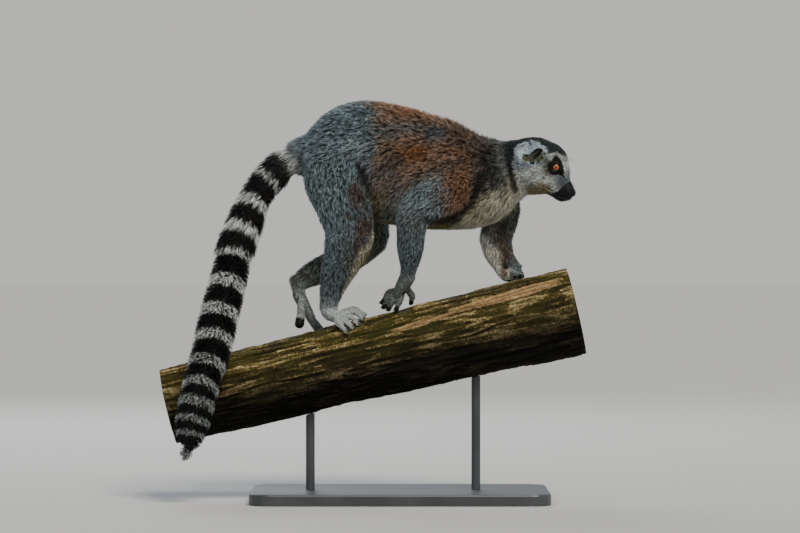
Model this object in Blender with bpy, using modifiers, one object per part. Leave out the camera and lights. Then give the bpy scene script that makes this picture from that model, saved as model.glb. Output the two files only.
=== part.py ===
"""A ring-tailed lemur walking up a cut length of branch, life size, on a plain display stand.

The animal is modelled whole, out to the tips of its coat, and then parted by thin cuts into the parts
that a person would name. It walks towards +X with its right side towards -Y, and +Z is up. The origin is
the centre of the stand's underside. Points and sizes below are in millimetres.
"""

import math

import bmesh
import bpy
import numpy as np
from mathutils import Matrix, Vector

MM = 0.001
GAP = 0.35  # between two parts of the body, and between the body and the branch

# ---------------------------------------------------------------- driving dimensions
BRANCH_SLOPE = math.radians(13.2)
BRANCH_RADIUS = 60.5  # at the branch's reference point, above the origin
BRANCH_TAPER = 0.014  # growth of the radius for each millimetre up the branch
BRANCH_HEIGHT = 216.0  # of its axis, above the origin
BRANCH_ENDS = (-345.0, 262.0)  # along its axis

BASE_LENGTH, BASE_WIDTH, BASE_THICKNESS = 430.0, 250.0, 16.0
BASE_CORNER = 28.0
ROD_RADIUS = 6.5
ROD_PLACES = {"stand_rod_rear": -130.0, "stand_rod_front": 110.0}

HEAD_TURN = math.radians(18)  # the head looks a little to the animal's right
HEAD_PIVOT_X = 172.0
EYE_RADIUS = 7.6
EYE_PLACE = (61.6, 19.2, 483.0)  # ahead of the pivot, out from the middle, up

COARSE_VOXEL, HEAD_VOXEL, FINE_VOXEL = 4.0, 2.0, 1.7
BODY_TRIANGLES = 4300

# ---------------------------------------------------------------- collections and materials
for old in list(bpy.data.objects):
    bpy.data.objects.remove(old)

LEMUR = bpy.data.collections.new("ring_tailed_lemur")
CUTTERS = bpy.data.collections.new("cutters")
for made in (LEMUR, CUTTERS):
    bpy.context.scene.collection.children.link(made)
CUTTERS.hide_render = True


def material(name, colour, roughness, metallic=0.0):
    made = bpy.data.materials.new(name)
    made.use_nodes = True
    shader = made.node_tree.nodes["Principled BSDF"]
    shader.inputs["Base Color"].default_value = (*colour, 1.0)
    shader.inputs["Roughness"].default_value = roughness
    shader.inputs["Metallic"].default_value = metallic
    return made


GREY_COAT = material("grey_coat", (0.20, 0.21, 0.22), 0.9)
BROWN_COAT = material("brown_coat", (0.20, 0.13, 0.10), 0.9)
PALE_COAT = material("pale_coat", (0.55, 0.55, 0.52), 0.9)
DARK_COAT = material("dark_coat", (0.03, 0.03, 0.03), 0.9)
EYE = material("eye", (0.55, 0.20, 0.03), 0.1)
BARK = material("bark", (0.16, 0.10, 0.06), 0.9)
STAND = material("stand_paint", (0.05, 0.05, 0.05), 0.45)


# ---------------------------------------------------------------- making and cutting solids
def mesh_object(name, points, faces, collection=LEMUR):
    mesh = bpy.data.meshes.new(name)
    mesh.from_pydata([tuple(MM * float(c) for c in p) for p in points], [], faces)
    mesh.update()
    made = bpy.data.objects.new(name, mesh)
    collection.objects.link(made)
    return made


def evaluated(obj):
    """A new mesh with the object's modifiers applied, which replaces its own."""
    graph = bpy.context.evaluated_depsgraph_get()
    obj.data = bpy.data.meshes.new_from_object(obj.evaluated_get(graph))
    obj.modifiers.clear()
    return obj


def through(rows, per_gap):
    """Rows of numbers read from a smooth curve through the given rows (Catmull-Rom)."""
    rows = np.array(rows, float)
    ends = np.vstack([2 * rows[0] - rows[1], rows, 2 * rows[-1] - rows[-2]])
    found = []
    for a, b, c, d in zip(ends, ends[1:], ends[2:], ends[3:]):
        for t in np.arange(per_gap) / per_gap:
            found.append(
                0.5 * (2 * b + (c - a) * t + (2 * a - 5 * b + 4 * c - d) * t**2
                       + (3 * b - a - 3 * c + d) * t**3)
            )
    return np.array([*found, rows[-1]])


def section(centre, up, side, sides, power=2.0, egg=0.0):
    """A ring of points, round for power 2 and squarer above it. Egg widens it towards its lower end."""
    ring = []
    for k in range(sides):
        c, s = math.cos(math.tau * k / sides), math.sin(math.tau * k / sides)
        c = math.copysign(abs(c) ** (2 / power), c)
        s = math.copysign(abs(s) ** (2 / power), s)
        ring.append(centre + up * s + side * c * (1 - egg * s))
    return ring


def loft(name, rings, collection=LEMUR):
    """A closed skin over rings of the same number of points."""
    sides = len(rings[0])
    faces = [
        (r * sides + k, r * sides + (k + 1) % sides, (r + 1) * sides + (k + 1) % sides, (r + 1) * sides + k)
        for r in range(len(rings) - 1)
        for k in range(sides)
    ]
    last = (len(rings) - 1) * sides
    faces += [tuple(reversed(range(sides))), tuple(range(last, last + sides))]
    made = mesh_object(name, [p for ring in rings for p in ring], faces, collection)
    shape = bmesh.new()
    shape.from_mesh(made.data)
    bmesh.ops.recalc_face_normals(shape, faces=shape.faces)
    shape.to_mesh(made.data)
    shape.free()
    return made


def tube(name, stations, sides=16, per_gap=4):
    """A limb through stations (x, y, z, half depth, half width), with round ends.

    The half depth is square to the limb and to the width, which lies as near to Y as it can.
    """
    rows = through(stations, per_gap)
    centres = rows[:, :3]
    along = np.gradient(centres, axis=0)
    rings = []
    frames = []
    for centre, way, deep, wide in zip(centres, along, rows[:, 3], rows[:, 4]):
        way = Vector(way).normalized()
        y = Vector((0, 1, 0))
        across = (y - way * y.dot(way)).normalized()
        frames.append((Vector(centre), way, way.cross(across) * deep, across * wide))
    for end, sign in ((0, -1), (-1, 1)):
        centre, way, up, side = frames[end]
        reach = min(up.length, side.length)
        cap = [
            section(centre + way * (sign * reach * math.sin(a)), up * math.cos(a), side * math.cos(a), sides)
            for a in (math.radians(d) for d in (28, 52, 72, 86))
        ]
        rings.append(cap)
    body = [section(centre, up, side, sides) for centre, _, up, side in frames]
    return loft(name, [*reversed(rings[0]), *body, *rings[1]])


def join(name, objects):
    """One object from several overlapping ones, whose meshes stay as they are."""
    shape = bmesh.new()
    for obj in objects:
        shape.from_mesh(obj.data)
        bpy.data.objects.remove(obj)
    mesh = bpy.data.meshes.new(name)
    shape.to_mesh(mesh)
    shape.free()
    made = bpy.data.objects.new(name, mesh)
    LEMUR.objects.link(made)
    return made


def fused(name, objects, voxel, smoothing):
    """One closed skin over overlapping pieces, with its creases eased."""
    made = join(name, objects)
    remesh = made.modifiers.new("fuse", "REMESH")
    remesh.mode = "VOXEL"
    remesh.voxel_size = voxel * MM
    ease = made.modifiers.new("ease", "SMOOTH")
    ease.factor = 0.5
    ease.iterations = smoothing
    return evaluated(made)


def boolean(obj, cutter, operation):
    cut = obj.modifiers.new(operation.lower(), "BOOLEAN")
    cut.operation = operation
    cut.object = cutter
    return evaluated(obj)


def half_space(point, normal):
    """The side of a plane that its normal points to, as (point, unit normal)."""
    return Vector(point), Vector(normal).normalized()


def cell(name, planes, grow=0.0):
    """A convex cutter, the space that is on the wanted side of every plane."""
    shape = bmesh.new()
    bmesh.ops.create_cube(shape, size=1.6)
    for point, normal in planes:
        cut = bmesh.ops.bisect_plane(
            shape,
            geom=[*shape.verts, *shape.edges, *shape.faces],
            plane_co=(point - normal * grow) * MM,
            plane_no=normal,
            clear_inner=True,
        )
        rim = [e for e in cut["geom_cut"] if isinstance(e, bmesh.types.BMEdge)]
        bmesh.ops.contextual_create(shape, geom=rim)
    bmesh.ops.recalc_face_normals(shape, faces=shape.faces)
    mesh = bpy.data.meshes.new(name)
    shape.to_mesh(mesh)
    shape.free()
    made = bpy.data.objects.new(name, mesh)
    CUTTERS.objects.link(made)
    made.hide_render = True
    made.display_type = "WIRE"
    return made


def part_off(source, name, planes):
    """Takes the material inside the planes out of the source as a new part, with a thin gap between."""
    made = bpy.data.objects.new(name, source.data.copy())
    LEMUR.objects.link(made)
    boolean(made, cell(f"{name}_inside", planes), "INTERSECT")
    boolean(source, cell(f"{name}_outside", planes, GAP), "DIFFERENCE")
    return made


# ---------------------------------------------------------------- the branch
UP_SLOPE = Vector((math.cos(BRANCH_SLOPE), 0, math.sin(BRANCH_SLOPE)))
OFF_SLOPE = Vector((-math.sin(BRANCH_SLOPE), 0, math.cos(BRANCH_SLOPE)))


def branch_radius(along):
    return BRANCH_RADIUS + BRANCH_TAPER * along


def on_branch(along, turn, height=0.0):
    """A point over the bark: so far up the branch, turned from its crown towards -Y, in degrees."""
    turn = math.radians(turn)
    out = OFF_SLOPE * math.cos(turn) - Vector((0, 1, 0)) * math.sin(turn)
    axis = Vector((0, 0, BRANCH_HEIGHT)) + UP_SLOPE * along
    return axis + out * (branch_radius(along) + height)


def bark_swell(along, turn):
    """How far the bark stands out, in ridges that wind along the branch and deepen under it."""
    low = (1 - math.cos(turn)) / 2
    return (0.7 + 3.2 * low) * math.sin(5 * turn + along / 90) * math.sin(2 * turn + along / 47)


def branch(name, grow, collection, ends=BRANCH_ENDS, sides=32):
    """The branch's own shape, or, grown, the cutter that keeps other parts clear of it."""
    shape = bmesh.new()
    bmesh.ops.create_cone(shape, cap_ends=True, segments=sides, radius1=1, radius2=1, depth=1)
    walls = [e for e in shape.edges if abs(e.verts[0].co.z - e.verts[1].co.z) > 0.5]
    bmesh.ops.subdivide_edges(shape, edges=walls, cuts=6)
    for v in shape.verts:
        along = ends[0] + (ends[1] - ends[0]) * (v.co.z + 0.5)
        turn = math.atan2(-v.co.x, v.co.y)
        v.co = on_branch(along, math.degrees(turn), grow + bark_swell(along, turn)) * MM
    mesh = bpy.data.meshes.new(name)
    shape.to_mesh(mesh)
    shape.free()
    made = bpy.data.objects.new(name, mesh)
    collection.objects.link(made)
    return made


perch = branch("perch_branch", 0.0, LEMUR)
perch.data.materials.append(BARK)
BRANCH_CLEARANCE = branch("branch_clearance", GAP, CUTTERS, ends=(-400.0, 400.0))
BRANCH_CLEARANCE.hide_render = True
BRANCH_CLEARANCE.display_type = "WIRE"

# ---------------------------------------------------------------- trunk, neck and head
# Each station is where the section meets the back and the belly, as (x, z), and its half width.
TRUNK = (
    (-143, 518, -141, 474, 24),
    (-133, 538, -126, 438, 42),
    (-110, 562, -94, 420, 51),
    (-78, 578, -60, 409, 56),
    (-43, 582, -30, 401, 58),
    (0, 575, 5, 395, 57),
    (43, 562, 43, 391, 54),
    (80, 551, 78, 391, 49),
    (110, 534, 110, 393, 44),
    (133, 525, 142, 404, 39),
    (152, 524, 168, 424, 35),
    (168, 526, 182, 438, 33),
)
# The head's stations are ahead of its pivot: crown (x, z), throat or chin (x, z), half width, squareness.
HEAD = (
    (-14, 519, 2, 440, 31, 2.0),
    (-3, 524, 12, 441, 34, 2.0),
    (13, 527, 24, 442, 35, 2.1),
    (31, 527, 33, 442, 34.5, 2.2),
    (47, 521, 39, 443, 32, 2.3),
    (61, 513.5, 43, 443, 28, 2.4),
    (71, 501, 47, 441, 23, 2.5),
    (74, 486, 52, 440, 18, 2.5),
    (77, 473, 57, 438, 14.5, 2.4),
    (80.5, 463, 63, 435.5, 12.5, 2.4),
    (84.5, 454, 71, 434, 11.5, 2.4),
    (87.5, 449, 80, 435.5, 9.5, 2.3),
    (89, 445, 86.5, 439, 5, 2.0),
)


def side_view_loft(name, stations, sides=28, per_gap=3, egg=0.0):
    """A body symmetric about Y = 0 from stations of back, belly, half width and squareness."""
    rings = []
    for x1, z1, x2, z2, wide, power in through(stations, per_gap):
        top, low = Vector((x1, 0, z1)), Vector((x2, 0, z2))
        rings.append(section((top + low) / 2, (top - low) / 2, Vector((0, wide, 0)), sides, power, egg))
    return loft(name, rings)


def head_place(ahead, left, up):
    """A point of the head: ahead of the pivot, out to the animal's left, and up, with the head turned."""
    c, s = math.cos(HEAD_TURN), math.sin(HEAD_TURN)
    return Vector((HEAD_PIVOT_X + ahead * c + left * s, -ahead * s + left * c, up))


def turn_head(obj):
    """Moves a mesh that was made ahead of the pivot at X = 0 to its place."""
    for v in obj.data.vertices:
        v.co = head_place(*(v.co / MM)) * MM
    return obj


def ball(name, centre, radii, rings=8):
    made = mesh_object(name, [], [])
    shape = bmesh.new()
    bmesh.ops.create_uvsphere(shape, u_segments=2 * rings, v_segments=rings, radius=MM)
    for v in shape.verts:
        v.co = Vector([MM * c + r * p for c, r, p in zip(centre, radii, v.co)])
    shape.to_mesh(made.data)
    shape.free()
    return made


trunk_form = side_view_loft("trunk_form", [(*row, 2.2) for row in TRUNK], egg=0.08)
head_form = side_view_loft("head_form", HEAD)
orbits = [ball(f"orbit_{side}", (60.5, side * 17, 484), (10, 10, 10)) for side in (-1, 1)]
brows = [ball(f"brow_{side}", (57, side * 12, 493), (13, 12, 13)) for side in (-1, 1)]
cheeks = [ball(f"cheek_{side}", (36, side * 20, 467), (23, 14, 21)) for side in (-1, 1)]
head_form = turn_head(fused("head_form", [head_form, *orbits, *brows, *cheeks], HEAD_VOXEL, 9))

# ---------------------------------------------------------------- limbs and tail
# Stations are (x, y, z, half depth, half width).
LIMBS = {
    "hind_right": (
        (-105, -24, 505, 40, 28),
        (-96, -37, 464, 45, 31),
        (-84, -44, 435, 43.5, 30),
        (-77, -47, 413, 41.5, 28),
        (-73, -47, 391, 38, 26),
        (-75, -45, 370, 36, 24.5),
        (-81, -41, 352, 32, 22.5),
        (-89, -35, 333, 27, 20),
        (-96, -29, 314, 22.5, 17.5),
        (-101, -23, 297, 19, 15.5),
        (-103, -18, 284, 17.5, 14.5),
    ),
    "hind_left": (
        (-103, 24, 505, 38, 28),
        (-78, 38, 455, 42, 29),
        (-56, 46, 418, 34, 27),
        (-40, 48, 386, 28, 23),
        (-62, 45, 361, 25, 21),
        (-88, 39, 346, 23, 19),
        (-116, 32, 334, 21.5, 17),
        (-138, 28, 323, 18, 14.5),
        (-151, 27, 316, 13, 13),
    ),
    "fore_right": (
        (95, -26, 470, 32, 20),
        (82, -37, 457, 31, 23),
        (62, -46, 441, 30, 24),
        (40, -51, 430, 29, 24),
        (20, -52, 413, 26, 22.5),
        (16, -50, 388, 22.5, 20.5),
        (15, -46, 366, 21.5, 19),
        (14, -41, 347, 17.5, 16),
        (13, -36, 333, 13.5, 13),
        (10, -30, 322, 12.5, 12.5),
    ),
    "fore_left": (
        (128, 24, 462, 32, 20),
        (145, 37, 430, 32, 22),
        (145, 46, 402, 29, 22),
        (139, 47, 384, 24.5, 20.5),
        (142, 44, 367, 24.5, 19),
        (147, 38, 353, 22.5, 17),
        (152, 33, 343, 20.5, 15.5),
        (157, 30, 334, 18.5, 14),
        (163, 27, 326, 14, 13),
    ),
}
TAIL = (
    (-125, 0, 513, 24),
    (-158, -1, 493, 28),
    (-186, -4, 469, 27.5),
    (-206, -8, 443, 26.5),
    (-223, -14, 405, 29.5),
    (-237, -26, 363, 31.5),
    (-249, -43, 309, 33.5),
    (-261, -57, 262, 34.8),
    (-269, -72, 219, 34.5),
    (-280, -89, 184, 32.5),
    (-289, -96, 145, 32.5),
    (-297, -95, 109, 30),
    (-299, -93, 89, 25),
    (-303, -92, 76, 17),
    (-307, -91, 68, 6),
)
limb_forms = [tube(name, rows) for name, rows in LIMBS.items()]
tail_form = tube("tail_form", [(*row, row[-1]) for row in TAIL], sides=20)
rough = fused("rough_form", [trunk_form, *limb_forms, tail_form], COARSE_VOXEL, 7)

# ---------------------------------------------------------------- hands and feet
# A paw is a sole, with stations as a limb's, and digits from the thumb or great toe outwards.
# A digit has its root, as a point, its bend and tip, as (along the branch, turn, height over the bark),
# and its radii there.
THIN, MEDIUM, THICK = (5.5, 4.8, 4.0), (6.0, 5.2, 4.2), (7.5, 7.0, 5.6)
PAWS = {
    "foot_right": {
        "soles": (
            ((-103, -18, 285, 16, 14), (-101, -18, 273, 14, 15), (-94, -20, 266, 11, 16),
             (-83, -21, 263, 10, 16)),
        ),
        "digits": (
            ((-86, -11, 268), (-59, -6, 9), (-40, -10, 4.8), THICK),
            ((-82, -16, 266), (-58, 12, 9), (-43, 20, 4.2), MEDIUM),
            ((-82, -22, 264), (-62, 28, 8), (-49, 34, 4.2), MEDIUM),
            ((-85, -28, 262), (-69, 35, 7), (-58, 41, 4.2), MEDIUM),
            ((-89, -31, 260), (-77, 40, 6), (-67, 46, 4.0), THIN),
        ),
    },
    "foot_left": {
        "soles": (
            ((-151, 27, 317, 13, 13), (-147, 26, 297, 12, 12), (-139, 26, 278, 9.5, 13),
             (-131, 26, 264, 8, 14)),
            ((-146, 27, 320, 12, 11), (-157, 27, 318, 10, 9)),
        ),
        "digits": (
            ((-145, 17, 284), (-132, -7, 25.5), (-135, -7, 14), THICK),
            ((-131, 19, 264), (-105, -14, 10), (-95, -13, 4.2), MEDIUM),
            ((-130, 25, 262), (-103, -21, 10), (-92, -21, 4.2), MEDIUM),
            ((-131, 31, 261), (-104, -28, 10), (-94, -31, 4.2), MEDIUM),
            ((-133, 36, 261), (-107, -35, 9), (-99, -40, 4.2), THIN),
        ),
    },
    "hand_right": {
        "soles": (
            ((11, -31, 325, 12, 12), (6, -25, 315, 11, 13), (1, -19, 305, 9.5, 14), (-3, -15, 298, 8, 13)),
        ),
        "digits": (
            ((8, -13, 308), (35, 4, 14), (30, 2, 4.5), THIN),
            ((3, -20, 299), (15.5, 17, 13), (11, 22, 4.2), THIN),
            ((-3, -20, 297), (4, 14, 12), (-4, 11, 4.3), THIN),
            ((-5, -14, 299), (3, 7, 17.5), (-10, 4, 8), THIN),
            ((-4, -8, 303), (5.5, 0, 25), (-9, -3, 15), THIN),
        ),
    },
    "hand_left": {
        "soles": (((160, 28, 330, 15, 13), (167, 26, 327, 10, 14), (175, 25, 325, 8, 15)),),
        "digits": (
            ((168, 14, 327), (194, 2, 9), (204, 6, 4.2), THIN),
            ((176, 16, 325), (203, -14, 9), (215, -14, 4.2), THIN),
            ((179, 24, 323), (206, -24, 9), (218, -27, 4.2), THIN),
            ((177, 31, 320), (204, -36, 9), (214, -43, 4.2), THIN),
            ((172, 36, 317), (196, -45, 9), (205, -54, 4.2), THIN),
        ),
    },
}


def paw_forms(name, paw):
    made = [tube(f"{name}_sole_{k}", rows) for k, rows in enumerate(paw["soles"])]
    for k, (root, bend, tip, radii) in enumerate(paw["digits"]):
        points = (Vector(root), on_branch(*bend), on_branch(*tip))
        rows = [(*p, r, r) for p, r in zip(points, radii)]
        made.append(tube(f"{name}_digit_{k}", rows, sides=12))
    return made


paws = [form for name, paw in PAWS.items() for form in paw_forms(name, paw)]
lemur = fused("lemur", [rough, head_form, *paws], FINE_VOXEL, 3)
thin_out = lemur.modifiers.new("thin_out", "DECIMATE")
thin_out.ratio = BODY_TRIANGLES / (2 * len(lemur.data.polygons))
evaluated(lemur)
boolean(lemur, BRANCH_CLEARANCE, "DIFFERENCE")

# ---------------------------------------------------------------- eyes and ears


def eye(name, left):
    ahead, out, up = EYE_PLACE
    centre = head_place(ahead, left * out, up)
    socket = ball(f"{name}_socket", centre, [EYE_RADIUS + GAP] * 3)
    LEMUR.objects.unlink(socket)
    CUTTERS.objects.link(socket)
    socket.hide_render = True
    socket.display_type = "WIRE"
    boolean(lemur, socket, "DIFFERENCE")
    made = ball(name, centre, [EYE_RADIUS] * 3)
    made.data.materials.append(EYE)
    made.data.shade_smooth()


for eye_name, eye_side in (("eye_right", -1), ("eye_left", 1)):
    eye(eye_name, eye_side)

# The ear is a dish that stands out from the side of the head, with its hollow turned outwards and ahead.
EAR_MIDDLE = (29.0, 40.0, 506.0)
EAR_HALF_WIDTH, EAR_HALF_HEIGHT, EAR_DISH, EAR_THICKNESS = 21.0, 20.0, 8.0, 3.6
EAR_LOOKS = Vector((0.40, 0.90, -0.12)).normalized()


def ear(name, left):
    rings, spokes = 4, 18
    up = (Vector((-0.35, 0, 1)) - EAR_LOOKS * EAR_LOOKS.dot(Vector((-0.35, 0, 1)))).normalized()
    ahead = up.cross(EAR_LOOKS)
    points = [Vector(EAR_MIDDLE) - EAR_LOOKS * EAR_DISH]
    for r in range(1, rings + 1):
        for k in range(spokes):
            share, turn = r / rings, math.tau * k / spokes
            across = ahead * (EAR_HALF_WIDTH * share * math.cos(turn) * (1 - 0.12 * math.sin(turn)))
            rise = up * (EAR_HALF_HEIGHT * share * math.sin(turn))
            points.append(Vector(EAR_MIDDLE) + across + rise - EAR_LOOKS * (EAR_DISH * (1 - share**2)))
    faces = [(0, 1 + k, 1 + (k + 1) % spokes) for k in range(spokes)]
    for r in range(rings - 1):
        for k in range(spokes):
            a, b = 1 + r * spokes + k, 1 + r * spokes + (k + 1) % spokes
            faces.append((a, a + spokes, b + spokes, b))
    made = mesh_object(name, [(p.x, left * p.y, p.z) for p in points], faces)
    turn_head(made)
    shell = made.modifiers.new("thickness", "SOLIDIFY")
    shell.thickness = EAR_THICKNESS * MM
    shell.offset = 0
    rounding = made.modifiers.new("rim", "BEVEL")
    rounding.width = 1.3 * MM
    rounding.segments = 1
    rounding.limit_method = "ANGLE"
    evaluated(made)
    boolean(made, LEMUR_CLEARANCE, "DIFFERENCE")
    made.data.materials.append(PALE_COAT)


def grown_copy(obj, name, grow):
    """A cutter a little larger than the object, so that what it cuts keeps clear of it."""
    made = bpy.data.objects.new(name, obj.data.copy())
    CUTTERS.objects.link(made)
    made.hide_render = True
    made.display_type = "WIRE"
    for v, way in [(v, v.normal.copy()) for v in made.data.vertices]:
        v.co += way * (grow * MM)
    return made


LEMUR_CLEARANCE = grown_copy(lemur, "lemur_clearance", GAP)
for ear_name, ear_side in (("ear_right", -1), ("ear_left", 1)):
    ear(ear_name, ear_side)

# ---------------------------------------------------------------- parting the body
# The paws come off first, each within its own planes, and then each limb, the tail, neck and head.
BELOW, ABOVE, AHEAD, BEHIND = (0, 0, -1), (0, 0, 1), (1, 0, 0), (-1, 0, 0)
LEFT, RIGHT = (0, 1, 0), (0, -1, 0)
# Each part takes what lies inside all of its planes, in this order, each plane as (point, normal).
PART_CUTS = (
    ("foot_left", ((-149, 26, 303), (0.35, 0, -1)), ((0, 1.5, 0), LEFT), ((-94, 0, 0), BEHIND),
     ((-180, 0, 0), AHEAD)),
    ("foot_right", ((-103, -18, 282), (0.15, 0.1, -1)), ((-128, 0, 0), AHEAD), ((-41, 0, 0), BEHIND)),
    ("hand_right", ((13, -33, 326), (-0.3, 0.2, -1)), ((-41, 0, 0), AHEAD), ((45, 0, 0), BEHIND),
     ((0, 12, 0), RIGHT)),
    ("hand_left", ((158, 29, 335), (0.4, -0.2, -1)), ((130, 0, 0), AHEAD)),
    ("forearm_right", ((20, -52, 408), (-0.3, 0, -1)), ((0, -22, 400), (0, -0.98, -0.2)),
     ((-25, 0, 0), AHEAD), ((52, 0, 0), BEHIND)),
    ("forearm_left", ((140, 47, 388), (0, 0, -1)), ((100, 0, 0), AHEAD)),
    ("shank_left", ((-45, 48, 379), (-0.2, 0, -1)), ((0, 4, 0), LEFT), ((-178, 0, 0), AHEAD),
     ((10, 0, 0), BEHIND)),
    ("shank_right", ((-74, -46, 384), (0.1, 0, -1)), ((0, 4, 0), RIGHT), ((-150, 0, 0), AHEAD),
     ((-10, 0, 0), BEHIND)),
    ("thigh_left", ((-60, 8, 412), (0, 0.92, -0.40)), ((2, 0, 390), (-0.8, 0, -0.6)), ((-172, 0, 0), AHEAD),
     ((0, 4, 0), LEFT)),
    ("thigh_right", ((-60, -8, 412), (0, -0.92, -0.40)), ((-24, 0, 399), (-0.94, 0, -0.34)),
     ((-152, 0, 0), AHEAD), ((0, -4, 0), RIGHT)),
    ("upper_arm_right", ((58, 0, 481), (0.55, 0, -0.83)), ((60, 0, 402), (-0.436, 0, 0.9)),
     ((75, -27, 405), (0, -0.966, -0.26)), ((-25, 0, 0), AHEAD), ((118, 0, 0), BEHIND)),
    ("upper_arm_left", ((140, 18, 405), (0, 0.93, -0.37)), ((108, 0, 430), (0.95, 0, -0.3)),
     ((200, 0, 470), (-0.5, 0, -0.85))),
)
TAIL_CUTS = (
    ("tail_1", (-146, 0, 498), (-0.8, 0, -0.6), (-150, 0, 440), (-0.97, 0, 0.25)),
    ("tail_2", (-212, -9, 432), (-0.42, -0.1, -0.9)),
    ("tail_3", (-240, -30, 355), (-0.27, -0.25, -0.93)),
    ("tail_4", (-259, -55, 268), (-0.24, -0.28, -0.93)),
    ("tail_5", (-281, -89, 182), (-0.26, -0.35, -0.9)),
)
HEAD_CUTS = (
    ("head", (167, 0, 484), (0.95, -0.2, 0.2)),
    ("neck", (145, 0, 480), (0.885, 0, 0.465)),
)
PATCHES = {
    "head": PALE_COAT, "neck": GREY_COAT, "trunk": BROWN_COAT, "tail_1": PALE_COAT, "tail_2": DARK_COAT,
    "tail_3": PALE_COAT, "tail_4": DARK_COAT, "tail_5": GREY_COAT,
}


parts = {}
for name, *cuts in PART_CUTS:
    parts[name] = part_off(lemur, name, [half_space(*cut) for cut in cuts])
whole = lemur
for name, *numbers in TAIL_CUTS:
    planes = [half_space(*pair) for pair in zip(numbers[::2], numbers[1::2])]
    parts[name] = part_off(whole, name, planes)
    whole = parts[name]
for name, *cut in HEAD_CUTS:
    parts[name] = part_off(lemur, name, [half_space(*cut)])
lemur.name = "trunk"
parts["trunk"] = lemur

for name, part in parts.items():
    part.data.materials.clear()
    part.data.materials.append(PATCHES.get(name, GREY_COAT))
    part.data.shade_smooth()

# ---------------------------------------------------------------- the display stand
def primitive(name, shape, colour):
    mesh = bpy.data.meshes.new(name)
    shape.to_mesh(mesh)
    shape.free()
    made = bpy.data.objects.new(name, mesh)
    LEMUR.objects.link(made)
    made.data.materials.append(colour)
    return made


plate = bmesh.new()
bmesh.ops.create_cube(plate, size=MM)
for v in plate.verts:
    v.co = Vector((v.co.x * BASE_LENGTH, v.co.y * BASE_WIDTH, (v.co.z + 0.5 * MM) * BASE_THICKNESS))
uprights = [e for e in plate.edges if abs(e.verts[0].co.z - e.verts[1].co.z) > 0.5 * BASE_THICKNESS * MM]
bmesh.ops.bevel(
    plate, geom=uprights, offset=BASE_CORNER * MM, segments=5, profile=0.5, affect="EDGES",
)
top_edges = [e for e in plate.edges if min(v.co.z for v in e.verts) > (BASE_THICKNESS - 1) * MM]
bmesh.ops.bevel(plate, geom=top_edges, offset=2.5 * MM, segments=2, profile=0.5, affect="EDGES")
primitive("stand_base", plate, STAND)

for rod_name, x in ROD_PLACES.items():
    rod_shape = bmesh.new()
    low, high = BASE_THICKNESS + GAP, BRANCH_HEIGHT
    bmesh.ops.create_cone(
        rod_shape, cap_ends=True, segments=24,
        radius1=ROD_RADIUS * MM, radius2=ROD_RADIUS * MM, depth=(high - low) * MM,
    )
    bmesh.ops.translate(rod_shape, verts=rod_shape.verts, vec=Vector((x, 0, (low + high) / 2)) * MM)
    rod = primitive(rod_name, rod_shape, STAND)
    boolean(rod, BRANCH_CLEARANCE, "DIFFERENCE")
    rod.data.shade_smooth()
    rod.data.set_sharp_from_angle(angle=math.radians(40))

# ---------------------------------------------------------------- each part's origin
# A part's origin is the middle of its box, and all of them hang from one empty at the stand's underside.
whole_model = bpy.data.objects.new("ring_tailed_lemur_place", None)
LEMUR.objects.link(whole_model)
for part in list(LEMUR.objects):
    if part.type != "MESH":
        continue
    corners = [Vector(corner) for corner in part.bound_box]
    middle = sum(corners, Vector()) / 8
    part.data.transform(Matrix.Translation(-middle))
    part.location = middle
    part.parent = whole_model
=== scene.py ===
import math

import bmesh
import bpy
import numpy as np
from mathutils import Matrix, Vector, noise
from mathutils.bvhtree import BVHTree
from mathutils.kdtree import KDTree


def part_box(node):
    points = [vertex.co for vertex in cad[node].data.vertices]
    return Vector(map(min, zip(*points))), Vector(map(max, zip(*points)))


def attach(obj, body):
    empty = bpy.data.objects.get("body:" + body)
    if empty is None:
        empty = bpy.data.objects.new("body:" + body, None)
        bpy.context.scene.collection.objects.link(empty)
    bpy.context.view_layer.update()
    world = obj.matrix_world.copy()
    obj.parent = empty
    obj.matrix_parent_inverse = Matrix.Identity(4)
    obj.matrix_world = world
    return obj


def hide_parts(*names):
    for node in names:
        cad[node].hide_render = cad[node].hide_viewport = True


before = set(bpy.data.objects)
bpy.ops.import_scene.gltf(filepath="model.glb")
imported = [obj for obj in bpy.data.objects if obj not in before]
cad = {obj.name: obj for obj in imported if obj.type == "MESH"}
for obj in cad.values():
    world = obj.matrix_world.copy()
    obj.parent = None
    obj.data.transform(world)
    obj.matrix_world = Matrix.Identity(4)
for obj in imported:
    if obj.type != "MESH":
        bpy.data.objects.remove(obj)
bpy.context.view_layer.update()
bpy.ops.object.select_all(action="DESELECT")


# ---------------------------------------------------------------------------
# Stand: a board of birch plywood, edges eased, filled and sprayed satin charcoal, with two
# steel rods pressed into it and sprayed with it. The lacquer gives a broad soft gloss over a
# faint pebble.

BOARD_COLOUR = "#33363a"
BOARD_WORN_COLOUR = "#3f4347"
RUB_SIZE = 70.0  # mm, the patches that hands have rubbed
PEBBLE_SIZE = 2.5  # mm, the orange peel of the sprayed coat, coarser than life so that it shows


def linear(colour):
    """A hex sRGB colour as linear red, green, blue and alpha."""
    parts = [int(colour[i:i + 2], 16) / 255 for i in (1, 3, 5)]
    return [p / 12.92 if p <= 0.04045 else ((p + 0.055) / 1.055) ** 2.4 for p in parts] + [1.0]


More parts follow.
